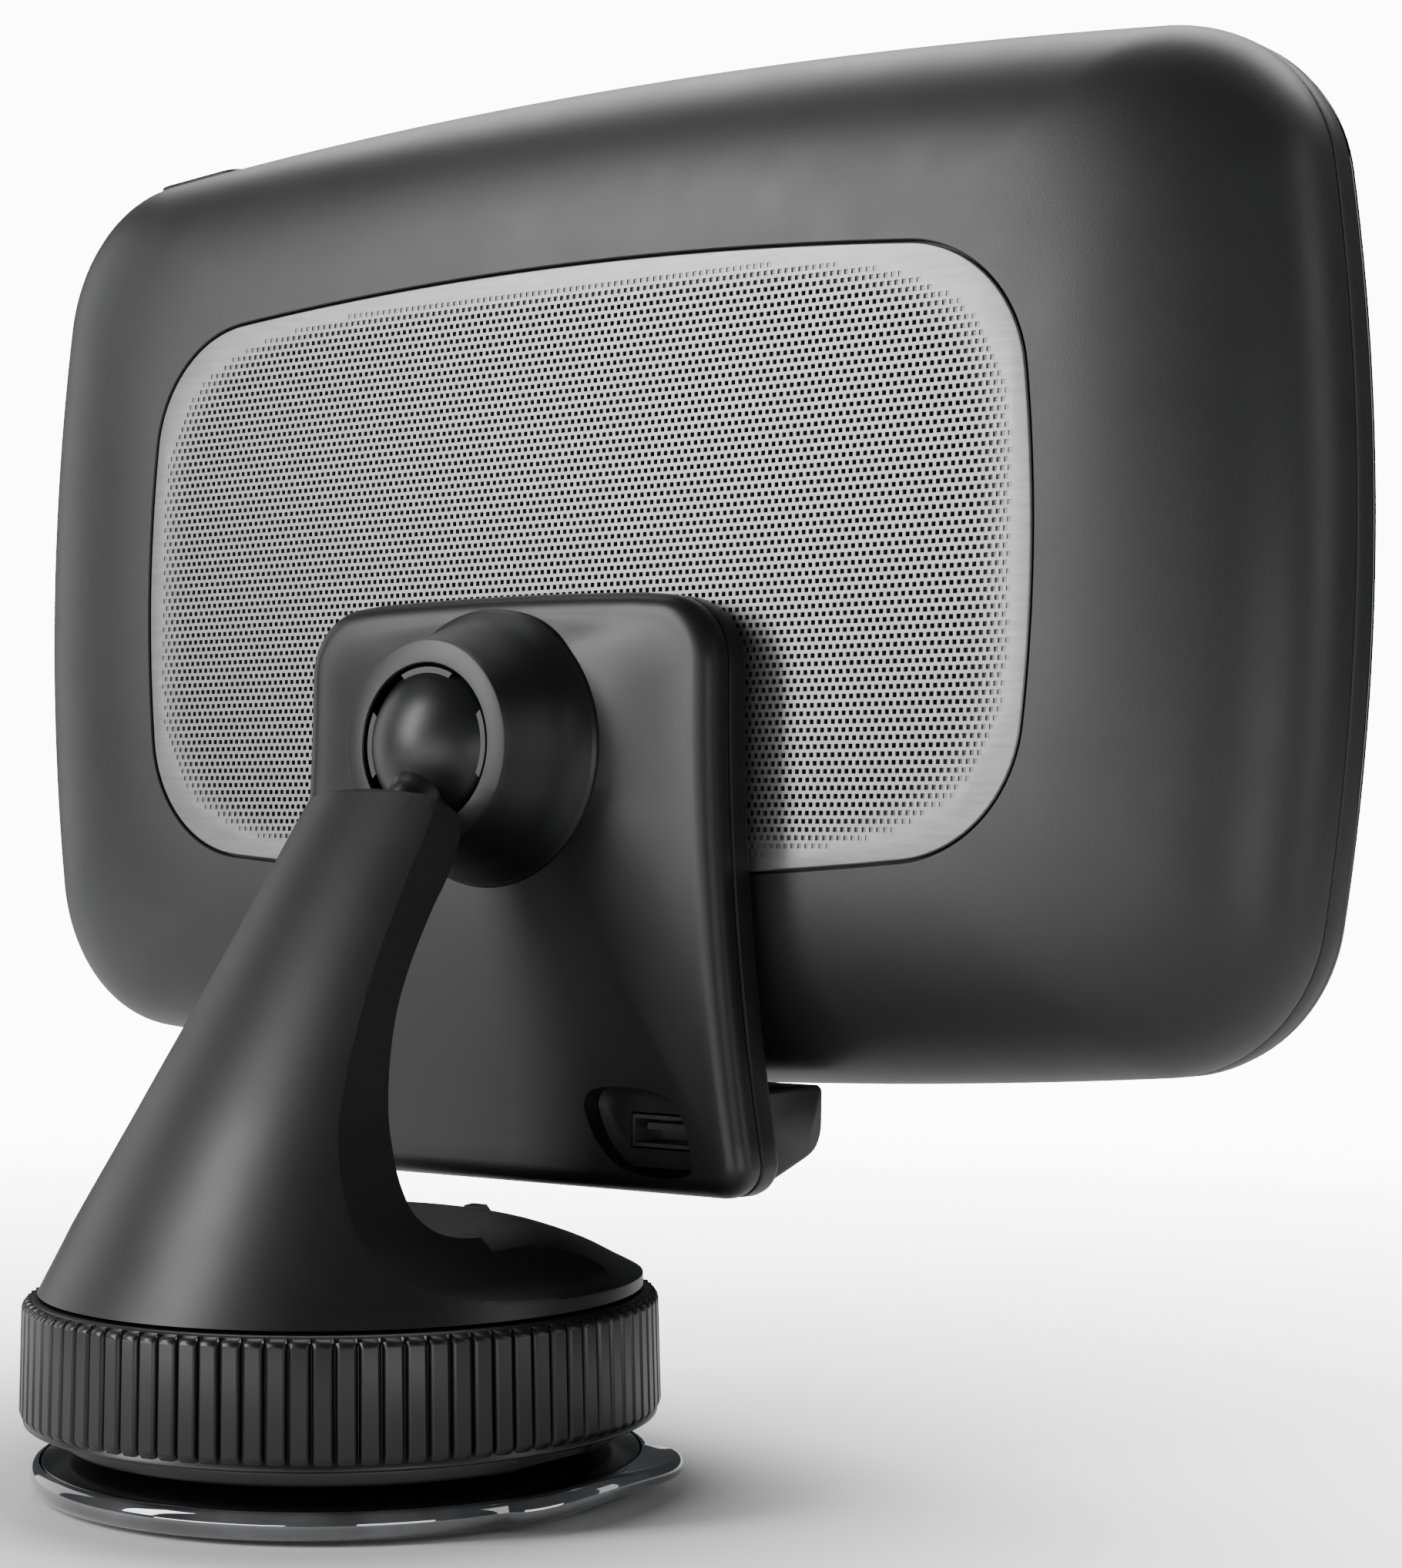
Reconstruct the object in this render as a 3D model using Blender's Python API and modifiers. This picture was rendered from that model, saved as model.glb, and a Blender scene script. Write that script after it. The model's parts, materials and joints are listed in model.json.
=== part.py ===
"""Screen-type in-car alert unit on a ball-jointed suction mount, one named object per sub-part.

World: metres, +Z up, origin at the centre of the suction face, the screen faces -Y.
The screen unit and its dock are drawn in millimetres in a frame of their own (screen front at
y = 0, back towards +Y) that hangs from an empty tilted by DISPLAY_LEAN.
"""
import math

import bmesh
import bpy
from mathutils import Matrix, Vector

MM = 0.001
DISPLAY_LEAN = math.radians(1.353)
DISPLAY_ORIGIN = (0.0, -46.36, 80.94)

# screen unit
HALF_W = 77.0
HALF_H = 48.35
SIDE_ARC = 219.9
TOP_ARC = 713.5
CORNER_R = 15.5
SEAM_Y = 4.7
BACK_Y = 18.0
GRILLE_HALF_W = 53.1
GRILLE_HALF_H = 28.9
GRILLE_SIDE_ARC = 140.3
GRILLE_TOP_ARC = 452.6
GRILLE_CORNER_R = 13.2
PILLOW_IN = 2.215
PILLOW_OUT = 2.348
WALL = 1.9

# dock
DOCK_TOP_Z = -2.7
DOCK_BOTTOM_Z = -57.4
DOCK_HALF_TOP = 24.4
DOCK_FLARE = 4.3
DOCK_TOP_R = 6.5
DOCK_BOTTOM_R = 3.2
BALL_Y = 29.4
BALL_Z = -17.1
BALL_R = 8.5
RING_Y = 35.17
USB_X = -18.4
PIN_X = 14.6
PIN_Z = -24.0
USB_Z = -51.9

# mount
BALL_WORLD = (0.0, -16.56, 64.53)
NECK_DROP = math.radians(35.2)
ARM_FACE_S = 11.4
RIM_R = 26.4
RING_R = 27.98
RING_LOW = 5.76
RING_HIGH = 16.67
RIBS = 92
HUB_R = 22.8
CUP_R = 27.2


def clear_scene():
    for obj in list(bpy.data.objects):
        bpy.data.objects.remove(obj, do_unlink=True)


def make_collection(name):
    made = bpy.data.collections.new(name)
    bpy.context.scene.collection.children.link(made)
    return made


clear_scene()
PARTS = make_collection("alert_unit")
CUTTERS = make_collection("cutters")


def material(name, color, roughness, metallic=0.0):
    mat = bpy.data.materials.new(name)
    mat.use_nodes = True
    shader = mat.node_tree.nodes["Principled BSDF"]
    shader.inputs["Base Color"].default_value = (*color, 1.0)
    shader.inputs["Roughness"].default_value = roughness
    shader.inputs["Metallic"].default_value = metallic
    return mat


SHELL = material("charcoal_shell", (0.035, 0.036, 0.038), 0.5)
GRILLE = material("grille_grey", (0.32, 0.32, 0.33), 0.4, 0.6)
SATIN = material("satin_black", (0.018, 0.018, 0.019), 0.42)
RUBBER = material("black_rubber", (0.02, 0.02, 0.02), 0.7)
GLASS = material("front_glass", (0.02, 0.02, 0.025), 0.08)
STEEL = material("steel", (0.5, 0.5, 0.5), 0.3, 1.0)
BOARD = material("board_green", (0.02, 0.12, 0.05), 0.6)
COPPER = material("contact_gold", (0.8, 0.6, 0.25), 0.3, 1.0)
CLOTH = material("acoustic_cloth", (0.01, 0.01, 0.01), 0.95)
CLEAR = material("suction_black", (0.03, 0.03, 0.03), 0.15)


def tilt_frame():
    """The empty that the screen unit, the dock and the socket hang from."""
    empty = bpy.data.objects.new("tilt_frame", None)
    PARTS.objects.link(empty)
    empty.location = Vector(DISPLAY_ORIGIN) * MM
    empty.rotation_euler = (DISPLAY_LEAN, 0, 0)
    return empty


FRAME = tilt_frame()


def place(obj, at=(0, 0, 0), turn=(0, 0, 0), parent=None):
    obj.location = Vector(at) * MM
    obj.rotation_euler = turn
    obj.parent = parent
    return obj


def add_mesh(name, bm, mat, cutter=False):
    """Scale a millimetre bmesh to metres and link it as an object."""
    bmesh.ops.scale(bm, vec=(MM, MM, MM), verts=bm.verts)
    mesh = bpy.data.meshes.new(name)
    bm.to_mesh(mesh)
    bm.free()
    obj = bpy.data.objects.new(name, mesh)
    if cutter:
        CUTTERS.objects.link(obj)
        obj.hide_render = True
        obj.display_type = "WIRE"
        return obj
    PARTS.objects.link(obj)
    mesh.materials.append(mat)
    mesh.shade_smooth()
    mesh.set_sharp_from_angle(angle=math.radians(32))
    return obj


def box_bm(low, high):
    bm = bmesh.new()
    size = [h - w for w, h in zip(low, high)]
    middle = [(h + w) / 2 for w, h in zip(low, high)]
    move = Matrix.Translation(middle) @ Matrix.Diagonal((*size, 1))
    bmesh.ops.create_cube(bm, size=1, matrix=move)
    return bm


def box(name, low, high, mat=None, parent=None, edge=0.0):
    """A box between two corners; edge rounds it."""
    obj = add_mesh(name, box_bm(low, high), mat, cutter=mat is None)
    if edge:
        soften(obj, edge)
    obj.parent = parent
    return obj


def soften(obj, width, segments=1, angle=40):
    bevel = obj.modifiers.new("edges", "BEVEL")
    bevel.width = width * MM
    bevel.segments = segments
    bevel.limit_method = "ANGLE"
    bevel.angle_limit = math.radians(angle)


def rod(name, radius, length, mat=None, sides=32, top_radius=None):
    """A cylinder or cone along local Z, centred on its origin."""
    bm = bmesh.new()
    bmesh.ops.create_cone(
        bm, cap_ends=True, segments=sides, radius1=radius,
        radius2=radius if top_radius is None else top_radius, depth=length,
    )
    return add_mesh(name, bm, mat, cutter=mat is None)


def boolean(obj, other, operation="DIFFERENCE"):
    mod = obj.modifiers.new(operation.lower(), "BOOLEAN")
    mod.operation = operation
    mod.solver = "EXACT"
    mod.object = other


def slab(name, loops, thick, mat=None):
    """A flat outline in local XY, given thickness about z = 0; later loops are holes."""
    curve = bpy.data.curves.new(name, "CURVE")
    curve.dimensions = "2D"
    curve.fill_mode = "BOTH"
    curve.extrude = thick * MM / 2
    for loop in loops:
        spline = curve.splines.new("POLY")
        spline.points.add(len(loop) - 1)
        spline.use_cyclic_u = True
        for point, (u, v) in zip(spline.points, loop):
            point.co = (u * MM, v * MM, 0, 1)
    guide = bpy.data.objects.new(name + "_outline", curve)
    bpy.context.scene.collection.objects.link(guide)
    bpy.context.view_layer.update()
    graph = bpy.context.evaluated_depsgraph_get()
    mesh = bpy.data.meshes.new_from_object(guide.evaluated_get(graph))
    bpy.data.objects.remove(guide)
    bm = bmesh.new()
    bm.from_mesh(mesh)
    bpy.data.meshes.remove(mesh)
    bmesh.ops.remove_doubles(bm, verts=bm.verts, dist=1e-7)
    bmesh.ops.scale(bm, vec=(1 / MM, 1 / MM, 1 / MM), verts=bm.verts)
    return add_mesh(name, bm, mat, cutter=mat is None)


def upright(name, loops, y0, y1, mat=None, parent=FRAME):
    """A slab whose outline lies in X and Z, from y0 to y1."""
    return place(slab(name, loops, y1 - y0, mat), (0, (y0 + y1) / 2, 0), (math.pi / 2, 0, 0), parent)


def along_x(name, outline, half, mat=None, parent=None):
    """A slab whose outline is given as (y, z), reaching half each way along X."""
    obj = slab(name, [outline], 2 * half, mat)
    obj.data.transform(Matrix(((0, 0, 1, 0), (1, 0, 0, 0), (0, 1, 0, 0), (0, 0, 0, 1))))
    obj.parent = parent
    return obj


def turned(name, profile, mat=None, steps=64, closed=True):
    """A profile of (radius, height), outer side top to bottom, turned about local Z."""
    bm = bmesh.new()
    verts = [bm.verts.new((r, 0, z)) for r, z in profile]
    for a, b in zip(verts, verts[1:]):
        bm.edges.new((a, b))
    if closed:
        bm.edges.new((verts[-1], verts[0]))
    obj = add_mesh(name, bm, mat, cutter=mat is None)
    screw = obj.modifiers.new("turn", "SCREW")
    screw.steps = steps
    screw.render_steps = steps
    screw.use_merge_vertices = True
    screw.merge_threshold = 1e-6
    screw.use_smooth_shade = True
    return obj


def loft(name, rings, mat=None, around=False):
    """Rings with equal counts joined by quads, ends capped, or joined end to end."""
    bm = bmesh.new()
    rows = [[bm.verts.new(p) for p in ring] for ring in rings]
    pairs = list(zip(rows, rows[1:]))
    if around:
        pairs.append((rows[-1], rows[0]))
    else:
        bm.faces.new(rows[0])
        bm.faces.new(rows[-1])
    for a, b in pairs:
        for i in range(len(a)):
            j = (i + 1) % len(a)
            bm.faces.new((a[i], a[j], b[j], b[i]))
    bmesh.ops.recalc_face_normals(bm, faces=bm.faces)
    return add_mesh(name, bm, mat, cutter=mat is None)


def arc(center, radius, start, end, count):
    """Points on an arc, angles in degrees, both ends included."""
    found = []
    for i in range(count):
        t = math.radians(start + (end - start) * i / (count - 1))
        found.append((center[0] + radius * math.cos(t), center[1] + radius * math.sin(t)))
    return found


def smooth_line(points, per_span=5):
    """A Catmull-Rom line through design points."""
    ends = [points[0], *points, points[-1]]
    found = []
    for a, b, c, d in zip(ends, ends[1:], ends[2:], ends[3:]):
        for i in range(per_span):
            t = i / per_span
            found.append(tuple(
                0.5 * (2 * q + (r - p) * t + (2 * p - 5 * q + 4 * r - s) * t * t
                       + (3 * q - p - 3 * r + s) * t ** 3)
                for p, q, r, s in zip(a, b, c, d)
            ))
    return [*found, tuple(points[-1])]


def oval_box(half_w, half_h, side_arc, top_arc, corner_r, side=4, corner=6, top=7):
    """A closed outline of bowed sides with round corners, internally tangent arcs."""
    c1 = Vector((half_w - side_arc, 0))
    c2 = Vector((0, half_h - top_arc))
    d1 = side_arc - corner_r
    d2 = top_arc - corner_r
    span = (c2 - c1).length
    along = (d1 * d1 - d2 * d2 + span * span) / (2 * span)
    off = math.sqrt(d1 * d1 - along * along)
    unit = (c2 - c1) / span
    left = Vector((-unit.y, unit.x))
    middle = max((c1 + unit * along + left * off, c1 + unit * along - left * off), key=lambda p: p.x)
    turn1 = math.degrees(math.atan2(middle.y - c1.y, middle.x - c1.x))
    turn2 = math.degrees(math.atan2(middle.y - c2.y, middle.x - c2.x))
    quarter = arc(c1, side_arc, 0, turn1, side)[:-1]
    quarter += arc(middle, corner_r, turn1, turn2, corner)[:-1]
    quarter += arc(c2, top_arc, turn2, 90, top)
    second = [(-x, z) for x, z in reversed(quarter[:-1])]
    half = quarter + second
    return half + [(x, -z) for x, z in reversed(half[1:-1])]


def seam_outline(inset=0.0):
    return oval_box(HALF_W - inset, HALF_H - inset, SIDE_ARC - inset, TOP_ARC - inset, CORNER_R - inset)


def grille_outline(inset=0.0):
    return oval_box(GRILLE_HALF_W - inset, GRILLE_HALF_H - inset, GRILLE_SIDE_ARC - inset,
                    GRILLE_TOP_ARC - inset, GRILLE_CORNER_R - inset)


def blend(first, second, k):
    return [(a[0] + (b[0] - a[0]) * k, a[1] + (b[1] - a[1]) * k) for a, b in zip(first, second)]


def pillow_y(k):
    return SEAM_Y + (BACK_Y - SEAM_Y) * (1 - (1 - k) ** PILLOW_IN) ** (1 / PILLOW_OUT)


def at_y(outline, y):
    return [(x, y, z) for x, z in outline]


# ---------------------------------------------------------------- screen unit

def front_glass():
    glass = upright("front_glass", [seam_outline(0.15)], 0.0, 1.1, GLASS)
    soften(glass, 0.35)


def side_frame():
    upright("side_frame", [seam_outline(), seam_outline(2.2)], 1.4, 4.4, SHELL)


def rear_housing():
    steps = [0, 0.008, 0.05, 0.14, 0.28, 0.5, 0.76, 1.0]
    rings = [at_y(blend(seam_outline(), grille_outline(-0.3), k), pillow_y(k)) for k in steps]
    rings.append(at_y(grille_outline(-0.3), 16.9))
    rings.append(at_y(grille_outline(2.2), 16.9))
    rings.append(at_y(grille_outline(2.2), 16.1))
    for k in (0.85, 0.5, 0.22, 0.05):
        inner = blend(seam_outline(WALL), grille_outline(WALL), k)
        rings.append(at_y(inner, min(pillow_y(k) - 1.7, 16.1)))
    rings.append(at_y(seam_outline(WALL), SEAM_Y))
    housing = loft("rear_housing", rings, SHELL, around=True)
    housing.parent = FRAME
    window = box("button_window", (-5.8, -1.9, -4), (5.8, 1.9, 4))
    place(window, (56.5, 7.6, 46.0), (math.radians(-11), math.radians(4.5), 0), FRAME)
    boolean(housing, window)


def power_button():
    button = box("power_button", (-5.5, -1.6, -2.0), (5.5, 1.6, 0.25), SHELL, edge=0.5)
    place(button, (56.5, 7.6, 45.85), (math.radians(-11), math.radians(4.5), 0), FRAME)
    box("power_switch", (53.8, 5.4, 39.8), (59.2, 8.2, 42.2), STEEL, FRAME, 0.3)


def speaker_grille():
    plate = upright("speaker_grille", [grille_outline()], 17.2, BACK_Y, GRILLE)
    boolean(plate, box("pad_window", (PIN_X - 6.4, 16, PIN_Z - 2.6), (PIN_X + 6.4, 19, PIN_Z + 2.6),
                       parent=FRAME))
    cloth = upright("acoustic_cloth", [grille_outline(1.2)], 16.93, 17.0, CLOTH)
    boolean(cloth, box("cloth_window", (PIN_X - 6.8, 16, PIN_Z - 3.0), (PIN_X + 6.8, 19, PIN_Z + 3.0),
                       parent=FRAME))
    box("contact_pads", (PIN_X - 6.0, 16.3, PIN_Z - 2.2), (PIN_X + 6.0, 17.9, PIN_Z + 2.2), COPPER, FRAME, 0.2)


def panel_stack():
    box("display_panel", (-67, 1.4, -37.5), (67, 3.5, 37.5), GLASS, FRAME, 0.3)
    outer = [(-66, -36.5), (66, -36.5), (66, 36.5), (-66, 36.5)]
    inner = [(-60, -31), (60, -31), (60, 31), (-60, 31)]
    upright("panel_bracket", [outer, inner], 3.8, 4.6, STEEL)
    box("main_board", (-8, 6.4, -34), (62, 7.6, 34), BOARD, FRAME)
    box("processor_shield", (-6, 7.9, -14), (12, 10.2, 12), STEEL, FRAME, 0.4)
    box("battery_pack", (-62, 5.6, -33), (-11, 8.4, 33), SHELL, FRAME, 0.8)
    box("positioning_antenna", (40, 7.9, 19.6), (58, 11.9, 34), STEEL, FRAME, 0.4)
    for side, name in ((1, "left"), (-1, "right")):
        x = sorted((side * 2, side * 14))
        box(f"keeper_{name}", (x[0], 14.0, -20), (x[1], 15.6, -10), STEEL, FRAME, 0.3)


def loudspeaker(name, x):
    """Basket, cone and magnet on an axis along +Y."""
    turn = (-math.pi / 2, 0, 0)
    basket = turned(f"{name}_basket", [
        (15.6, 15.9), (17.6, 15.9), (17.6, 15.0), (15.4, 15.0), (9.0, 11.5), (4.0, 11.5),
        (4.0, 12.1), (8.6, 12.1), (15.0, 15.5)], STEEL, 24)
    place(basket, (x, 0, 0), turn, FRAME)
    cone = turned(f"{name}_cone", [
        (0, 13.6), (4.6, 13.9), (14.6, 16.0), (14.6, 15.6), (4.8, 13.3), (0, 13.1)], CLOTH, 24, False)
    place(cone, (x, 0, 0), turn, FRAME)
    place(rod(f"{name}_magnet", 9.0, 2.6, STEEL), (x, 9.9, 0), turn, FRAME)


# ---------------------------------------------------------------- dock

def dock_half_width(z):
    return DOCK_HALF_TOP + DOCK_FLARE * (max(-z - 10, 0) / 44) ** 2


def dock_outline(inset=0.0):
    """Round-topped plate that flares towards its lower end."""
    top_r = DOCK_TOP_R
    right = arc((DOCK_HALF_TOP - top_r, DOCK_TOP_Z - 0.5 - top_r), top_r - inset, 82, 0, 6)
    for i in range(1, 10):
        z = -14 - i * (DOCK_BOTTOM_R - DOCK_BOTTOM_Z - 17.2) / 10
        right.append((dock_half_width(z) - inset, z))
    low_x = dock_half_width(DOCK_BOTTOM_Z + DOCK_BOTTOM_R) - DOCK_BOTTOM_R
    right += arc((low_x, DOCK_BOTTOM_Z + DOCK_BOTTOM_R), DOCK_BOTTOM_R - inset, -4, -90, 5)
    crown = [(x, DOCK_TOP_Z - 0.28 * (x / 16) ** 2 - inset) for x in (2.0, 5.5, 10.0, 14.5)]
    right = crown + right + [(9.0, DOCK_BOTTOM_Z + inset)]
    return right + [(-x, z) for x, z in reversed(right)]


def boss_circle(radius):
    """A circle round the ball axis with one point for each outline point, at the same bearing."""
    found = []
    for x, z in dock_outline():
        reach = math.hypot(x, z - BALL_Z)
        found.append((x * radius / reach, BALL_Z + (z - BALL_Z) * radius / reach))
    return found


def recess_outline(grow=0.0):
    """The drop-shaped recess round the power socket."""
    points = [(-11.0, -49.8), (-13.6, -48.0), (-18.0, -47.9), (-21.2, -49.2), (-22.8, -51.6),
              (-23.4, -54.3), (-22.6, -55.5), (-18.9, -55.9), (-15.4, -55.4), (-12.6, -53.0)]
    line = smooth_line([*points, points[0]], 3)[:-1]
    cx = -17.6
    cz = -52.2
    found = []
    for x, z in line:
        reach = math.hypot(x - cx, z - cz)
        found.append((x + grow * (x - cx) / reach, z + grow * (z - cz) / reach))
    return found


def dock_cover():
    steps = ((0.0, 21.85), (0.0, 22.9), (0.25, 23.8), (0.9, 24.5), (2.0, 24.85))
    rings = [at_y(dock_outline(inset), y) for inset, y in steps]
    rim = dock_outline(2.0)
    for k in (0.3, 0.6, 0.85):
        rings.append(at_y(blend(rim, boss_circle(12.6), k), 24.85 + 1.15 * k))
    rings.append(at_y(boss_circle(12.6), 26.0))
    rings.append(at_y(boss_circle(10.6), 26.0))
    rings.append(at_y(boss_circle(10.6), 23.1))
    rings.append(at_y(dock_outline(1.8), 23.1))
    rings.append(at_y(dock_outline(1.8), 21.85))
    cover = loft("dock_cover", rings, SATIN, around=True)
    cover.parent = FRAME
    boolean(cover, upright("recess_cutter", [recess_outline()], 20, 30))


def usb_group():
    cup = upright("usb_recess_cup", [recess_outline(0.9)], 21.2, 22.8, SATIN)
    boolean(cup, upright("cup_hollow", [recess_outline()], 22.0, 24))
    boolean(cup, box("cup_foot", (-30, 20, -60), (-5, 24, -55.2), parent=FRAME))
    boolean(cup, box("socket_window", (USB_X - 4.1, 20, USB_Z - 1.75), (USB_X + 4.1, 24, USB_Z + 1.75),
                     parent=FRAME))
    shell = box("usb_shell", (USB_X - 3.8, 17.4, USB_Z - 1.45), (USB_X + 3.8, 22.3, USB_Z + 1.45), STEEL, FRAME)
    boolean(shell, box("usb_hollow", (USB_X - 3.5, 18.2, USB_Z - 1.1), (USB_X + 3.5, 24, USB_Z + 1.1),
                       parent=FRAME))
    box("usb_tongue", (USB_X - 2.6, 18.6, USB_Z + 0.1), (USB_X + 2.6, 21.6, USB_Z + 0.7), SATIN, FRAME)


def dock_tray():
    rings = [at_y(dock_outline(1.8), 19.4), at_y(dock_outline(1.8), 21.55), at_y(dock_outline(), 21.55),
             at_y(dock_outline(), 19.3), at_y(dock_outline(0.6), 18.6)]
    tray = loft("dock_tray", rings, SATIN)
    tray.parent = FRAME
    shelf = along_x("shelf_block", [
        (19.2, -47.7), (10.6, -47.7), (10.0, -48.4), (10.0, -51.6), (10.7, -53.3), (12.6, -54.5),
        (19.2, -56.6)], 27.3, parent=FRAME)
    boolean(tray, shelf, "UNION")
    boolean(tray, box("shelf_hollow", (-24.5, 12.0, -53.6), (24.5, 20.6, -49.3), parent=FRAME))
    boolean(tray, box("pin_slot", (PIN_X - 5.0, 17, PIN_Z - 0.9), (PIN_X + 5.0, 20, PIN_Z + 0.9), parent=FRAME))


def dock_internals():
    box("dock_board", (-18, 20.2, -46), (18, 21.0, -32), BOARD, FRAME)
    for side, name in ((1, "left"), (-1, "right")):
        x = sorted((side * 12.5, side * 20.5))
        box(f"dock_magnet_{name}", (x[0], 19.9, -18), (x[1], 22.6, -6.5), STEEL, FRAME, 0.4)
    comb = [(-5.2, 20.4)]
    for i in range(5):
        x = -4.4 + i * 2.2
        comb += [(x - 0.4, 19.8), (x - 0.4, 18.35), (x + 0.4, 18.35), (x + 0.4, 19.8)]
    comb += [(5.2, 20.4)]
    pins = slab("contact_pins", [comb], 0.9, COPPER)
    place(pins, (PIN_X, 0, PIN_Z), (0, 0, 0), FRAME)
    spots = ((19.5, -30), (-19.5, -30), (21.5, -44.5), (-21.5, -44.5))
    for i, (x, z) in enumerate(spots, 1):
        screw = turned(f"dock_screw_{i}", [
            (0, 22.7), (1.1, 22.7), (1.1, 21.0), (2.0, 21.0), (2.0, 19.9), (0, 19.9)], STEEL, 12, False)
        place(screw, (x, 0, z), (-math.pi / 2, 0, 0), FRAME)


def sphere_points(radius, start, end, count):
    """(radius, height) points of a sphere's side between two polar angles from +Z, in degrees."""
    found = []
    for i in range(count):
        t = math.radians(start + (end - start) * i / (count - 1))
        found.append((radius * math.sin(t), radius * math.cos(t)))
    return found


def ball_socket():
    """Collar, slotted clamp and seat, all about the socket axis."""
    at = (0, BALL_Y, BALL_Z)
    turn = (-math.pi / 2, 0, 0)
    front = RING_Y - BALL_Y
    collar = turned("ball_collar", [
        (7.39, front), (9.3, front), (9.7, front - 0.35), (10.7, 2.6), (12.0, -0.6), (13.06, -2.7),
        (13.0, -3.1), (10.45, -3.1), (10.45, 0.3), (7.5, 5.3)], SATIN, 44)
    place(collar, at, turn, FRAME)
    inner = sphere_points(8.57, 51.2, 93.0, 6)
    cavity = sphere_points(9.25, 95.5, 180.0, 7)
    profile = [(7.15, 5.37), (10.1, 0.0), (10.1, -9.3), (9.7, -9.65), (0, -9.65)]
    profile += list(reversed(cavity))[0:]
    profile += list(reversed(inner))
    clamp = turned("socket_clamp", profile, SATIN, 40)
    close_profile(clamp, len(profile))
    place(clamp, at, turn, FRAME)
    for i, angle in enumerate((45, 135)):
        slot = box(f"finger_slot_{i}", (-15, -2.35, 1.0), (15, 2.35, 8))
        spin = Matrix.Rotation(math.radians(angle), 4, "Z")
        slot.data.transform(spin)
        place(slot, at, turn, FRAME)
        boolean(clamp, slot)
    relief = rod("neck_relief", 2.85, 10, sides=24)
    tilt = NECK_DROP + DISPLAY_LEAN
    relief.data.transform(Matrix.Rotation(-tilt, 4, "X") @ Matrix.Translation((0, 0, 11 * MM)))
    place(relief, at, turn, FRAME)
    boolean(clamp, relief)
    shell = sphere_points(8.62, 0, 24, 3)
    outer = list(reversed(sphere_points(9.1, 0, 24, 3)))
    seat = turned("ball_seat", [(r, -z) for r, z in shell] + [(r, -z) for r, z in outer], RUBBER, 20, False)
    place(seat, at, turn, FRAME)


def close_profile(obj, count):
    """The two axis points of a turned solid aren't joined by an edge."""
    mesh = obj.data
    bm = bmesh.new()
    bm.from_mesh(mesh)
    bm.verts.ensure_lookup_table()
    for edge in list(bm.edges):
        a, b = edge.verts
        if abs(a.co.x) < 1e-9 and abs(b.co.x) < 1e-9:
            bm.edges.remove(edge)
    bm.to_mesh(mesh)
    bm.free()


# ---------------------------------------------------------------- mount

def ball_stud():
    profile = [(0, 17.0), (2.0, 17.0), (2.3, 16.7), (2.3, 8.18)]
    profile += sphere_points(BALL_R, 15.7, 180, 12)[1:]
    profile[-1] = (0, -BALL_R)
    stud = turned("ball_stud", profile, SATIN, 32, False)
    place(stud, BALL_WORLD, (-math.pi / 2 - NECK_DROP, 0, 0))


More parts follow.
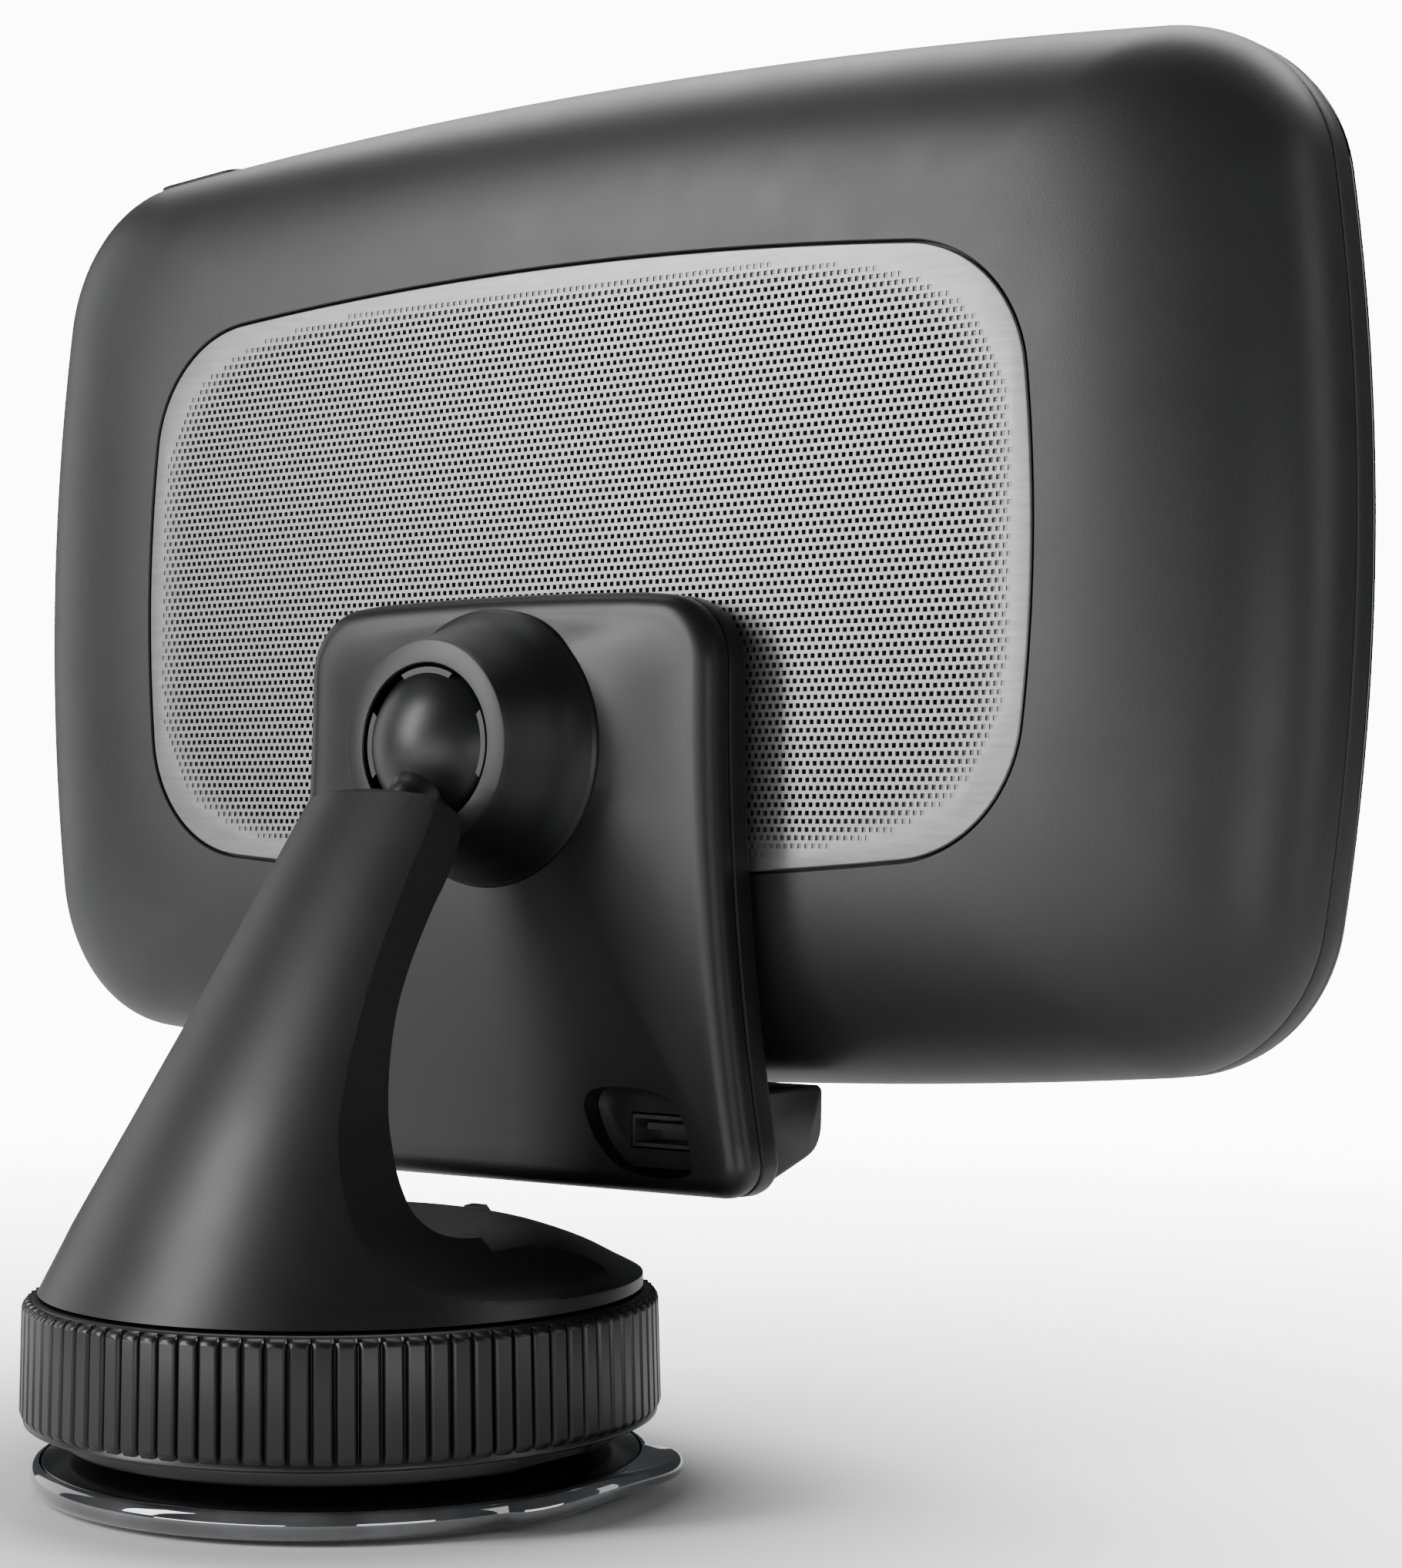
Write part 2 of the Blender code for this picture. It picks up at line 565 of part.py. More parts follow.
def arm_base():
    """A leaning cone, cut by two flaring sides and a hollowed front, on a domed hub."""
    rows = []
    for z, radius, y in ((16.97, 26.4, 0), (22, 25.2, -2.0), (27, 24.1, -3.9), (34, 22.5, -6.6),
                         (42, 20.6, -10.1), (50, 18.77, -13.9), (58.5, 16.8, -18.05), (64, 15.5, -20.7)):
        rows.append([(x, y + v, z) for x, v in arc((0, 0), radius, 0, 360, 97)[:-1]])
    arm = loft("arm_base", rows, SATIN)
    side = smooth_line([(2.8, 62.6), (4.9, 61.9), (6.6, 61.0), (7.5, 59.8), (7.85, 58.4), (8.07, 56),
                        (8.54, 50), (9.67, 42), (11.46, 34), (12.88, 30), (14.35, 27), (16.0, 24.3),
                        (18.3, 21.9), (22.3, 19.2), (26.8, 18.1)], 3)
    for sign, name in ((1, "left"), (-1, "right")):
        outline = [(sign * x, z) for x, z in [*side, (45, 18.1), (45, 70), (2.8, 70)]]
        cutter = upright(f"side_cutter_{name}", [outline], -60, 60, parent=None)
        boolean(arm, cutter)
    front = smooth_line([(-9.0, 60.5), (-6.9, 58.1), (-6.3, 56), (-4.6, 53), (-2.1, 50), (1.0, 46), (3.6, 42),
                         (5.5, 38), (6.9, 34), (7.9, 30), (8.4, 27), (8.1, 24.8), (6.2, 23.2), (2, 22.6),
                         (-6, 22.8), (-16, 23.2), (-30, 23.5)], 3)
    boolean(arm, along_x("front_cutter", [*front, (-50, 23.5), (-50, 70), (-9.0, 70)], 40))
    top = box("top_cutter", (-30, -30, 0), (30, 30, 25))
    place(top, (0, -3.2, 60.3), (math.radians(31.8), 0, 0))
    boolean(arm, top)
    dome = turned("dome_cutter", [(9, 23.3), (12, 22.9), (15.5, 22.3), (18.5, 21.5), (22, 20.2), (24.5, 18.8),
                                  (25.9, 17.6), (27, 17.0), (50, 17.0), (50, 30), (9, 30)][::-1])
    keep = box("dome_keep", (-60, 2.0, 0), (60, 60, 70))
    boolean(dome, keep)
    boolean(arm, dome)
    ball = Vector(BALL_WORLD)
    along = Vector((0, math.cos(NECK_DROP), -math.sin(NECK_DROP)))
    lean = (-math.pi / 2 - NECK_DROP, 0, 0)
    boss = rod("neck_boss", 3.3, 3.4, sides=48)
    place(boss, ball + along * 13.2, lean)
    boolean(arm, boss, "UNION")
    bore = rod("stud_bore", 2.65, 7.6, sides=24)
    place(bore, ball + along * 13.7, lean)
    boolean(arm, bore)
    hub = rod("hub", HUB_R, 17.6 - 5.76, sides=96)
    place(hub, (0, 0, (17.6 + 5.76) / 2))
    boolean(arm, hub, "UNION")
    hollow = rod("hub_hollow", 19.4, 13, sides=64)
    place(hollow, (0, 0, 17.2 - 6.5))
    boolean(arm, hollow)
    nub = along_x("index_nub", [(-17.3, 20.2), (-17.3, 22.15), (-18.6, 22.25), (-20.8, 20.0)], 1.6)
    boolean(arm, nub, "UNION")


def lock_ring():
    """Twist ring with flat ribs and V grooves."""
    def row(z, radius, depth):
        found = []
        for i in range(RIBS):
            for share, cut in ((0.0, 0), (0.5, depth)):
                t = 2 * math.pi * (i + share) / RIBS
                found.append(((radius - cut) * math.cos(t), (radius - cut) * math.sin(t), z))
        return found
    inner = HUB_R + 0.1
    rows = [row(RING_HIGH, inner, 0), row(RING_HIGH, 26.7, 0), row(16.0, 27.55, 0.45),
            row(7.2, RING_R, 0.6), row(6.1, 27.75, 0.45), row(RING_LOW, 27.2, 0), row(RING_LOW, inner, 0)]
    loft("lock_ring", rows, SATIN, around=True)


def base_plate():
    plate = turned("base_plate", [
        (14.0, 5.46), (24.2, 5.46), (24.5, 5.2), (24.3, 4.0), (14.0, 4.0)], SATIN, 48)
    notch = box("notch_cutter", (-28, -5.0, 3), (-23.2, 5.0, 6))
    boolean(plate, notch)


def suction_cup():
    cup = turned("suction_cup", [
        (0, 2.1), (9.2, 2.1), (9.2, 3.6), (21.0, 3.6), (CUP_R - 0.2, 2.62), (CUP_R, 2.45), (26.9, 0.7),
        (26.3, 0.0), (0, 0)], CLEAR, 60, False)
    lobe = []
    for i in range(13):
        bearing = math.radians(163 + 48 * i / 12)
        reach = 25.6 + 5.6 * math.sin(math.pi * i / 12) ** 0.7
        lobe.append((reach * math.cos(bearing), reach * math.sin(bearing)))
    lobe += [(-16 * 1.2, 5.2), (-19.2, -8.0)][::-1]
    tab = place(slab("pull_tab", [lobe], 1.1), (0, 0, 1.65))
    boolean(cup, tab, "UNION")


def plunger():
    turned("plunger", [
        (0, 13.5), (2.7, 13.5), (3.0, 13.2), (3.0, 9.5), (12.0, 9.5), (12.0, 8.0), (3.2, 8.0), (3.2, 3.8),
        (8.7, 3.8), (8.7, 2.4), (0, 2.4)], STEEL, 24, False)
    turns = 4
    steps = 8 * turns
    curve = bpy.data.curves.new("plunger_spring", "CURVE")
    curve.dimensions = "3D"
    curve.bevel_depth = 0.4 * MM
    curve.bevel_resolution = 0
    curve.use_fill_caps = True
    spline = curve.splines.new("POLY")
    spline.points.add(steps)
    for i, point in enumerate(spline.points):
        t = 2 * math.pi * turns * i / steps
        z = 10.3 + 6.1 * i / steps
        point.co = (4.6 * math.cos(t) * MM, 4.6 * math.sin(t) * MM, z * MM, 1)
    spring = bpy.data.objects.new("plunger_spring", curve)
    PARTS.objects.link(spring)
    curve.materials.append(STEEL)


def main():
    front_glass()
    side_frame()
    rear_housing()
    power_button()
    speaker_grille()
    panel_stack()
    loudspeaker("speaker_left", 34)
    loudspeaker("speaker_right", -34)
    dock_cover()
    usb_group()
    dock_tray()
    dock_internals()
    ball_socket()
    ball_stud()
    arm_base()
    lock_ring()
    base_plate()
    suction_cup()
    plunger()


main()
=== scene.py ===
import json
import math

import bmesh
import bpy
from bpy.props import FloatProperty, FloatVectorProperty, IntProperty, PointerProperty
from mathutils import Matrix, Vector

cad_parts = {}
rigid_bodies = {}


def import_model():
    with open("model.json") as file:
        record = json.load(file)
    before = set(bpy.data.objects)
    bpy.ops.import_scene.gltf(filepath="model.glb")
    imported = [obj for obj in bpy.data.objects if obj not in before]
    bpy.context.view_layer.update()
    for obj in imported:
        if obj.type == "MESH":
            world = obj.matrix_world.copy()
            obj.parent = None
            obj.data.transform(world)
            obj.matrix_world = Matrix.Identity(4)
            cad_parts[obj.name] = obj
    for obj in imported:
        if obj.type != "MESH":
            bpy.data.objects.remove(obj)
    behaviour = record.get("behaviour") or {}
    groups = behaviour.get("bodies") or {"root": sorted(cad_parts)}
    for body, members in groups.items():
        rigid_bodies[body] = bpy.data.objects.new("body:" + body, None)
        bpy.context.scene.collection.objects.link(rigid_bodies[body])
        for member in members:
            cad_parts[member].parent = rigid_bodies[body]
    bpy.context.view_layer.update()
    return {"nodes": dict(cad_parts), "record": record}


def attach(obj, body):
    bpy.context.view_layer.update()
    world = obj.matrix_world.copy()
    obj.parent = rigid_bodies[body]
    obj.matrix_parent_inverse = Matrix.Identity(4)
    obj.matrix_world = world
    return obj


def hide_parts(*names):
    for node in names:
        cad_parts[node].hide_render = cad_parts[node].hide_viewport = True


bl_info = {
    "name": "Alert Display on Suction Mount",
    "version": (1, 0, 0),
    "blender": (4, 5, 0),
    "location": "View3D > Sidebar > Alert Display",
    "description": "Builds the visible surface of a docked in-car alert display",
    "category": "Object",
}

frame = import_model()
SLOTS = {row["node"]: row["material_slot"] for row in frame["record"]["subparts"]}

MM = 0.001
LEAN = math.radians(1.353)
UNIT_ORIGIN = (0.0, -46.36, 80.94)
MM_WORLD = Matrix.Scale(MM, 4)
# The screen unit and its dock are drawn in millimetres with the front of the glass at y = 0.
TO_WORLD = (Matrix.Translation(Vector(UNIT_ORIGIN) * MM) @ Matrix.Rotation(LEAN, 4, "X")
            @ MM_WORLD)
SEAM_Y = 4.7  # where the side band meets the rear shell
BACK_Y = 18.0  # outer face of the speaker plate
BALL_UNIT = Vector((0.0, 29.4, -17.1))  # the ball's centre in the unit's frame
BALL_WORLD = Vector((0.0, -16.56, 64.53))
BALL_RADIUS = 8.5
NECK_DROP = math.radians(35.2)  # how far below level the neck points
UP_TO_Y = Matrix.Rotation(-math.pi / 2, 4, "X")
NECK_PLACE = (MM_WORLD @ Matrix.Translation(BALL_WORLD)
              @ Matrix.Rotation(-math.pi / 2 - NECK_DROP, 4, "X"))

HOLE_COLUMNS, HOLE_ROWS = 135, 75
HOLE_FIELD = (0.0512, 0.0270)  # half width and half height of the perforated field, metres
BEHIND_DOCK = (0.0215, -0.0066)  # half width and top of the part with no holes, metres
FIELD_POWER = 4.2  # squareness of the field's outline
SHALLOWEST = 0.14  # share of the depth that a dimple at the border keeps
PICTURE_AREA = (("X", 0.0, 0.0675), ("Z", 0.0809, 0.0380))  # axis, middle and half size, metres
KEY_PLACE = (56.5, 7.6)
KEY_TILT = (Matrix.Rotation(math.radians(4.5), 4, "Y")
            @ Matrix.Rotation(math.radians(-11), 4, "X"))
DOCK_FACE_Y, DOCK_INNER_Y = 24.85, 23.1
DOCK_WALL = 1.8
TAB_BEARING, TAB_SPREAD = 191, 29  # direction and half spread of the pull tab, degrees
RIM_RADIUS = 27.15

CAMERA_PLACE = (-191.35, 208.7, 57.74)  # millimetres
CAMERA_FORWARD = (0.5877, -0.8090, -0.0141)
CAMERA_SHIFT = (-0.0047, 0.0522)
SENSOR_WIDTH = 36.0
# Name, place, target, width, height and share of the key's power.
LIGHTS = (
    ("key_left", (0.30, 0.42, 0.30), (0.02, -0.03, 0.09), 0.14, 0.42, 1.25),
    ("top_wrap", (0.05, -0.22, 0.42), (0, -0.04, 0.12), 0.60, 0.25, 0.9),
    ("rim_right", (-0.55, -0.15, 0.16), (0, -0.03, 0.08), 0.15, 0.45, 0.2),
    ("low_strip", (0.02, 0.55, 0.035), (0, 0, 0.03), 0.50, 0.03, 0.28),
    ("low_right", (-0.45, 0.25, 0.02), (-0.03, -0.04, 0.04), 0.25, 0.10, 0.22),
    ("soft_left", (0.60, -0.02, 0.15), (0, -0.03, 0.07), 0.30, 0.50, 0.25),
)


# ---------------------------------------------------------------- shapes

def arc(center, radius, start, end, count):
    found = []
    for i in range(count):
        t = math.radians(start + (end - start) * i / (count - 1))
        found.append((center[0] + radius * math.cos(t), center[1] + radius * math.sin(t)))
    return found


def smooth_line(points, per_span=6):
    """A Catmull-Rom line through design points."""
    ends = [points[0], *points, points[-1]]
    found = []
    for a, b, c, d in zip(ends, ends[1:], ends[2:], ends[3:]):
        for i in range(per_span):
            t = i / per_span
            found.append(tuple(
                0.5 * (2 * q + (r - p) * t + (2 * p - 5 * q + 4 * r - s) * t * t
                       + (3 * q - p - 3 * r + s) * t ** 3)
                for p, q, r, s in zip(a, b, c, d)
            ))
    return [*found, tuple(points[-1])]


def oval_box(half_w, half_h, side_arc, top_arc, corner_r, side=14, corner=22, top=22):
    """Bowed sides with round corners, all arcs internally tangent."""
    c1 = Vector((half_w - side_arc, 0))
    c2 = Vector((0, half_h - top_arc))
    d1 = side_arc - corner_r
    d2 = top_arc - corner_r
    span = (c2 - c1).length
    along = (d1 * d1 - d2 * d2 + span * span) / (2 * span)
    off = math.sqrt(d1 * d1 - along * along)
    unit = (c2 - c1) / span
    left = Vector((-unit.y, unit.x))
    middle = max((c1 + unit * along + left * off, c1 + unit * along - left * off),
                 key=lambda p: p.x)
    turn1 = math.degrees(math.atan2(middle.y - c1.y, middle.x - c1.x))
    turn2 = math.degrees(math.atan2(middle.y - c2.y, middle.x - c2.x))
    quarter = arc(c1, side_arc, 0, turn1, side)[:-1]
    quarter += arc(middle, corner_r, turn1, turn2, corner)[:-1]
    quarter += arc(c2, top_arc, turn2, 90, top)
    half = quarter + [(-x, z) for x, z in reversed(quarter[:-1])]
    return half + [(x, -z) for x, z in reversed(half[1:-1])]


def seam_outline(inset=0.0):
    return oval_box(77.0 - inset, 48.35 - inset, 219.9 - inset, 713.5 - inset, 15.5 - inset)


def grille_outline(inset=0.0):
    return oval_box(53.1 - inset, 28.9 - inset, 140.3 - inset, 452.6 - inset, 13.2 - inset)


def dock_outline(inset=0.0):
    """Round-topped plate that flares towards its lower end."""
    def half_width(z):
        return 24.4 + 4.3 * (max(-z - 10, 0) / 44) ** 2
    right = [(x, -2.7 - 0.28 * (x / 16) ** 2 - inset)
             for x in (1.2, 3.6, 6, 8.5, 11, 13.5, 15.6)]
    right += arc((17.9, -9.7), 6.5 - inset, 84, 0, 12)
    for i in range(1, 22):
        z = -9.7 - i * 44.5 / 22
        right.append((half_width(z) - inset, z))
    low_x = half_width(-54.2) - 3.2
    right += arc((low_x, -54.2), 3.2 - inset, -3, -90, 9)
    right += [(x, -57.4 + inset) for x in (21.5, 17.5, 13.5, 9.5, 5.5, 1.8)]
    return right + [(-x, z) for x, z in reversed(right)]


def boss_circle(radius):
    """A circle round the ball axis with a point at the bearing of each outline point."""
    found = []
    for x, z in dock_outline():
        rise = z - BALL_UNIT.z
        reach = math.hypot(x, rise)
        found.append((x * radius / reach, BALL_UNIT.z + rise * radius / reach))
    return found


def recess_outline(grow=0.0):
    points = [(-11.0, -49.7), (-11.6, -48.5), (-13.4, -47.95), (-17.6, -47.9), (-20.6, -48.7),
              (-22.2, -50.6), (-23.0, -53.2), (-23.2, -54.9), (-22.2, -55.6), (-18.9, -55.8),
              (-15.4, -55.2), (-13.0, -53.5), (-11.6, -51.4)]
    found = []
    for x, z in smooth_line([*points, points[0]], 5)[:-1]:
        reach = math.hypot(x + 17.6, z + 52.2)
        found.append((x + grow * (x + 17.6) / reach, z + grow * (z + 52.2) / reach))
    return found


def blend(first, second, k):
    return [(a[0] + (b[0] - a[0]) * k, a[1] + (b[1] - a[1]) * k) for a, b in zip(first, second)]


def pillow_y(k):
    return SEAM_Y + (BACK_Y - SEAM_Y) * (1 - (1 - k) ** 2.215) ** (1 / 2.348)


def at_y(outline, y):
    return [(x, y, z) for x, z in outline]


# ---------------------------------------------------------------- objects

def link(name, mesh, mat, sharp=30):
    """A finished piece at the origin, shaded smooth with its hard edges kept."""
    obj = bpy.data.objects.new(name, mesh)
    bpy.context.scene.collection.objects.link(obj)
    mesh.materials.clear()
    mesh.materials.append(mat)
    mesh.shade_smooth()
    mesh.set_sharp_from_angle(angle=math.radians(sharp))
    return obj


def bm_object(name, bm, mat, matrix, sharp=30):
    bmesh.ops.recalc_face_normals(bm, faces=bm.faces)
    mesh = bpy.data.meshes.new(name)
    bm.to_mesh(mesh)
    bm.free()
    mesh.transform(matrix)
    return link(name, mesh, mat, sharp)


def loft(name, rings, mat, matrix=TO_WORLD, around=False, sharp=30):
    bm = bmesh.new()
    rows = [[bm.verts.new(p) for p in ring] for ring in rings]
    pairs = list(zip(rows, rows[1:]))
    if around:
        pairs.append((rows[-1], rows[0]))
    else:
        bm.faces.new(rows[0])
        bm.faces.new(rows[-1])
    for a, b in pairs:
        for i in range(len(a)):
            j = (i + 1) % len(a)
            bm.faces.new((a[i], a[j], b[j], b[i]))
    return bm_object(name, bm, mat, matrix, sharp)


def slab(name, outline, y0, y1, mat, matrix=TO_WORLD):
    return loft(name, [at_y(outline, y0), at_y(outline, y1)], mat, matrix)


def turned(name, profile, mat, matrix, steps=144, sharp=30):
    """A (radius, height) profile about local Z, closed unless it starts on the axis."""
    angles = [2 * math.pi * i / steps for i in range(steps)]
    bm = bmesh.new()
    rows = []
    for r, z in profile:
        if r < 1e-6:
            rows.append([bm.verts.new((0, 0, z))])
        else:
            rows.append([bm.verts.new((r * math.cos(a), r * math.sin(a), z)) for a in angles])
    pairs = list(zip(rows, rows[1:]))
    if len(rows[0]) > 1:
        pairs.append((rows[-1], rows[0]))
    for a, b in pairs:
        if len(a) == 1 and len(b) == 1:
            continue
        for i in range(steps):
            j = (i + 1) % steps
            if len(a) == 1:
                bm.faces.new((a[0], b[j], b[i]))
            elif len(b) == 1:
                bm.faces.new((a[i], a[j], b[0]))
            else:
                bm.faces.new((a[i], a[j], b[j], b[i]))
    return bm_object(name, bm, mat, matrix, sharp)


def round_profile(corners, segments=4):
    """A closed (radius, height, rounding) profile with each corner filleted."""
    found = []
    count = len(corners)
    for i, (r, z, size) in enumerate(corners):
        here = Vector((r, z))
        before = Vector(corners[i - 1][:2]) - here
        after = Vector(corners[(i + 1) % count][:2]) - here
        if not size:
            found.append((r, z))
            continue
        size = min(size, 0.45 * before.length, 0.45 * after.length)
        start = here + before.normalized() * size
        end = here + after.normalized() * size
        for k in range(segments + 1):
            t = k / segments
            p = start * (1 - t) ** 2 + here * 2 * t * (1 - t) + end * t * t
            found.append((p.x, p.y))
    return found


def box_cutter(name, low, high, matrix=TO_WORLD):
    bm = bmesh.new()
    size = [h - w for w, h in zip(low, high)]
    middle = [(h + w) / 2 for w, h in zip(low, high)]
    bmesh.ops.create_cube(bm, size=1,
                          matrix=Matrix.Translation(middle) @ Matrix.Diagonal((*size, 1)))
    mesh = bpy.data.meshes.new(name)
    bm.to_mesh(mesh)
    bm.free()
    mesh.transform(matrix)
    obj = bpy.data.objects.new(name, mesh)
    bpy.context.scene.collection.objects.link(obj)
    return obj


def applied(obj):
    """The evaluated mesh takes the place of the object's own, with no modifier left."""
    bpy.context.view_layer.update()
    graph = bpy.context.evaluated_depsgraph_get()
    mesh = bpy.data.meshes.new_from_object(obj.evaluated_get(graph))
    obj.modifiers.clear()
    obj.data = mesh
    return obj


def combine(obj, others, operation="DIFFERENCE", sharp=30):
    for other in others:
        mod = obj.modifiers.new("combine", "BOOLEAN")
        mod.operation = operation
        mod.solver = "EXACT"
        mod.object = other
    applied(obj)
    for other in others:
        bpy.data.objects.remove(other, do_unlink=True)
    obj.data.shade_smooth()
    obj.data.set_sharp_from_angle(angle=math.radians(sharp))
    return obj


def finish_piece(obj, body, slot, *nodes):
    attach(obj, body)
    if nodes:
        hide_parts(*nodes)
    return obj


# ---------------------------------------------------------------- materials

def new_material(name, color, roughness, metallic=0.0, **sockets):
    """A Principled material; returns it with its tree and shader."""
    mat = bpy.data.materials.new(name)
    mat.use_nodes = True
    tree = mat.node_tree
    shader = tree.nodes["Principled BSDF"]
    shader.inputs["Base Color"].default_value = (*color, 1.0)
    shader.inputs["Roughness"].default_value = roughness
    shader.inputs["Metallic"].default_value = metallic
    for key, value in sockets.items():
        shader.inputs[key.replace("_", " ")].default_value = value
    return mat, tree, shader


def noise(tree, scale, detail=4.0, stretch=(1, 1, 1)):
    """Noise in object coordinates."""
    coords = tree.nodes.new("ShaderNodeTexCoord")
    mapping = tree.nodes.new("ShaderNodeMapping")
    mapping.inputs["Scale"].default_value = stretch
    texture = tree.nodes.new("ShaderNodeTexNoise")
    texture.inputs["Scale"].default_value = scale
    texture.inputs["Detail"].default_value = detail
    tree.links.new(coords.outputs["Object"], mapping.inputs["Vector"])
    tree.links.new(mapping.outputs["Vector"], texture.inputs["Vector"])
    return texture.outputs["Fac"]


def ramp(tree, fac, low, high, start=0.3, end=0.7):
    node = tree.nodes.new("ShaderNodeValToRGB")
    node.color_ramp.elements[0].position = start
    node.color_ramp.elements[1].position = end
    node.color_ramp.elements[0].color = (*low, 1)
    node.color_ramp.elements[1].color = (*high, 1)
    tree.links.new(fac, node.inputs["Fac"])
    return node.outputs["Color"]


def span(tree, fac, low, high):
    node = tree.nodes.new("ShaderNodeMapRange")
    node.inputs["To Min"].default_value = low
    node.inputs["To Max"].default_value = high
    tree.links.new(fac, node.inputs["Value"])
    return node.outputs["Result"]


def node_math(tree, operation, a, b=None):
    """A Math node on two numbers or sockets; returns its result."""
    node = tree.nodes.new("ShaderNodeMath")
    node.operation = operation
    for i, value in enumerate((a, b)):
        if isinstance(value, (int, float)):
            node.inputs[i].default_value = value
        elif value is not None:
            tree.links.new(value, node.inputs[i])
    return node.outputs[0]


def bump(tree, shader, height, strength, distance):
    node = tree.nodes.new("ShaderNodeBump")
    node.inputs["Strength"].default_value = strength
    node.inputs["Distance"].default_value = distance
    tree.links.new(height, node.inputs["Height"])
    tree.links.new(node.outputs["Normal"], shader.inputs["Normal"])


def grained(name, color, roughness, grain=5200.0, depth=0.22, drift=0.14, **sockets):
    """Moulded plastic with a fine grain, a faint drift of tone and marks in the gloss."""
    mat, tree, shader = new_material(name, color, roughness, **sockets)
    drifted = noise(tree, 38.0, 3.0)
    dark = tuple(c * (1 - drift) for c in color)
    light = tuple(c * (1 + drift) for c in color)
    tree.links.new(ramp(tree, drifted, dark, light), shader.inputs["Base Color"])
    marks = noise(tree, 160.0, 6.0)
    tree.links.new(span(tree, marks, roughness - 0.05, roughness + 0.05),
                   shader.inputs["Roughness"])
    bump(tree, shader, noise(tree, grain, 2.0), depth, 0.00004)
    return mat


def grille_material(light):
    """Anodised silver plate that turns black down in its holes."""
    dark = tuple(c * 0.815 for c in light)
    mat, tree, shader = new_material("grille_silver", light, 0.40, 0.75)
    coords = tree.nodes.new("ShaderNodeTexCoord")
    tilt = tree.nodes.new("ShaderNodeVectorRotate")
    tilt.rotation_type = "X_AXIS"
    tilt.inputs["Angle"].default_value = -LEAN
    tilt.inputs["Center"].default_value = Vector(UNIT_ORIGIN) * MM
    parts = tree.nodes.new("ShaderNodeSeparateXYZ")
    # Mask of how far below the plate's face a point lies; it drives the painted shade in the holes.
    depth = tree.nodes.new("ShaderNodeMapRange")
    surface = (UNIT_ORIGIN[1] + BACK_Y) * MM
    depth.inputs["From Min"].default_value = surface - 0.00034
    depth.inputs["From Max"].default_value = surface - 0.00003
    tree.links.new(coords.outputs["Object"], tilt.inputs["Vector"])
    tree.links.new(tilt.outputs["Vector"], parts.inputs["Vector"])
    tree.links.new(parts.outputs["Y"], depth.inputs["Value"])
    brushed = ramp(tree, noise(tree, 300.0, 6.0, (1, 1, 8)), dark, light)
    # Painted shade: the holes are coloured near-black and lose their metal, standing in for the
    # shade inside them.
    mix = tree.nodes.new("ShaderNodeMix")
    mix.data_type = "RGBA"
    mix.inputs["A"].default_value = (0.004, 0.004, 0.004, 1)
    tree.links.new(depth.outputs["Result"], mix.inputs["Factor"])
    tree.links.new(brushed, mix.inputs["B"])
    tree.links.new(mix.outputs["Result"], shader.inputs["Base Color"])
    tree.links.new(span(tree, depth.outputs["Result"], 0.0, 0.75), shader.inputs["Metallic"])
    bump(tree, shader, noise(tree, 4200.0, 2.0), 0.08, 0.00003)
    return mat


def brushed_steel():
    """Plated steel with lines drawn one way."""
    mat, tree, shader = new_material("plated_steel", (0.55, 0.55, 0.56), 0.3, 1.0)
    lines = noise(tree, 900.0, 5.0, (1, 12, 1))
    tree.links.new(ramp(tree, lines, (0.45, 0.45, 0.46), (0.62, 0.62, 0.63)),
                   shader.inputs["Base Color"])
    tree.links.new(span(tree, lines, 0.24, 0.4), shader.inputs["Roughness"])
    bump(tree, shader, lines, 0.1, 0.00003)
    return mat


def board_material():
    """Green circuit board with a faint grid of tracks."""
    mat, tree, shader = new_material("solder_mask", (0.02, 0.12, 0.05), 0.4)
    coords = tree.nodes.new("ShaderNodeTexCoord")
    cells = tree.nodes.new("ShaderNodeTexBrick")
    cells.inputs["Scale"].default_value = 420.0
    cells.inputs["Mortar Size"].default_value = 0.012
    cells.inputs["Color1"].default_value = (0.015, 0.10, 0.04, 1)
    cells.inputs["Color2"].default_value = (0.02, 0.14, 0.06, 1)
    cells.inputs["Mortar"].default_value = (0.10, 0.20, 0.08, 1)
    tree.links.new(coords.outputs["Object"], cells.inputs["Vector"])
    tree.links.new(cells.outputs["Color"], shader.inputs["Base Color"])
    bump(tree, shader, cells.outputs["Fac"], 0.3, 0.00005)
    return mat


def cloth_material():
    """Black acoustic cloth with a fine weave."""
    mat, tree, shader = new_material("speaker_cloth", (0.012, 0.012, 0.012), 0.95)
    coords = tree.nodes.new("ShaderNodeTexCoord")
    weave = tree.nodes.new("ShaderNodeTexChecker")
    weave.inputs["Scale"].default_value = 4000.0
    weave.inputs["Color1"].default_value = (0.008, 0.008, 0.008, 1)
    weave.inputs["Color2"].default_value = (0.02, 0.02, 0.02, 1)
    tree.links.new(coords.outputs["Object"], weave.inputs["Vector"])
    tree.links.new(weave.outputs["Color"], shader.inputs["Base Color"])
    bump(tree, shader, weave.outputs["Fac"], 0.3, 0.00005)
    return mat


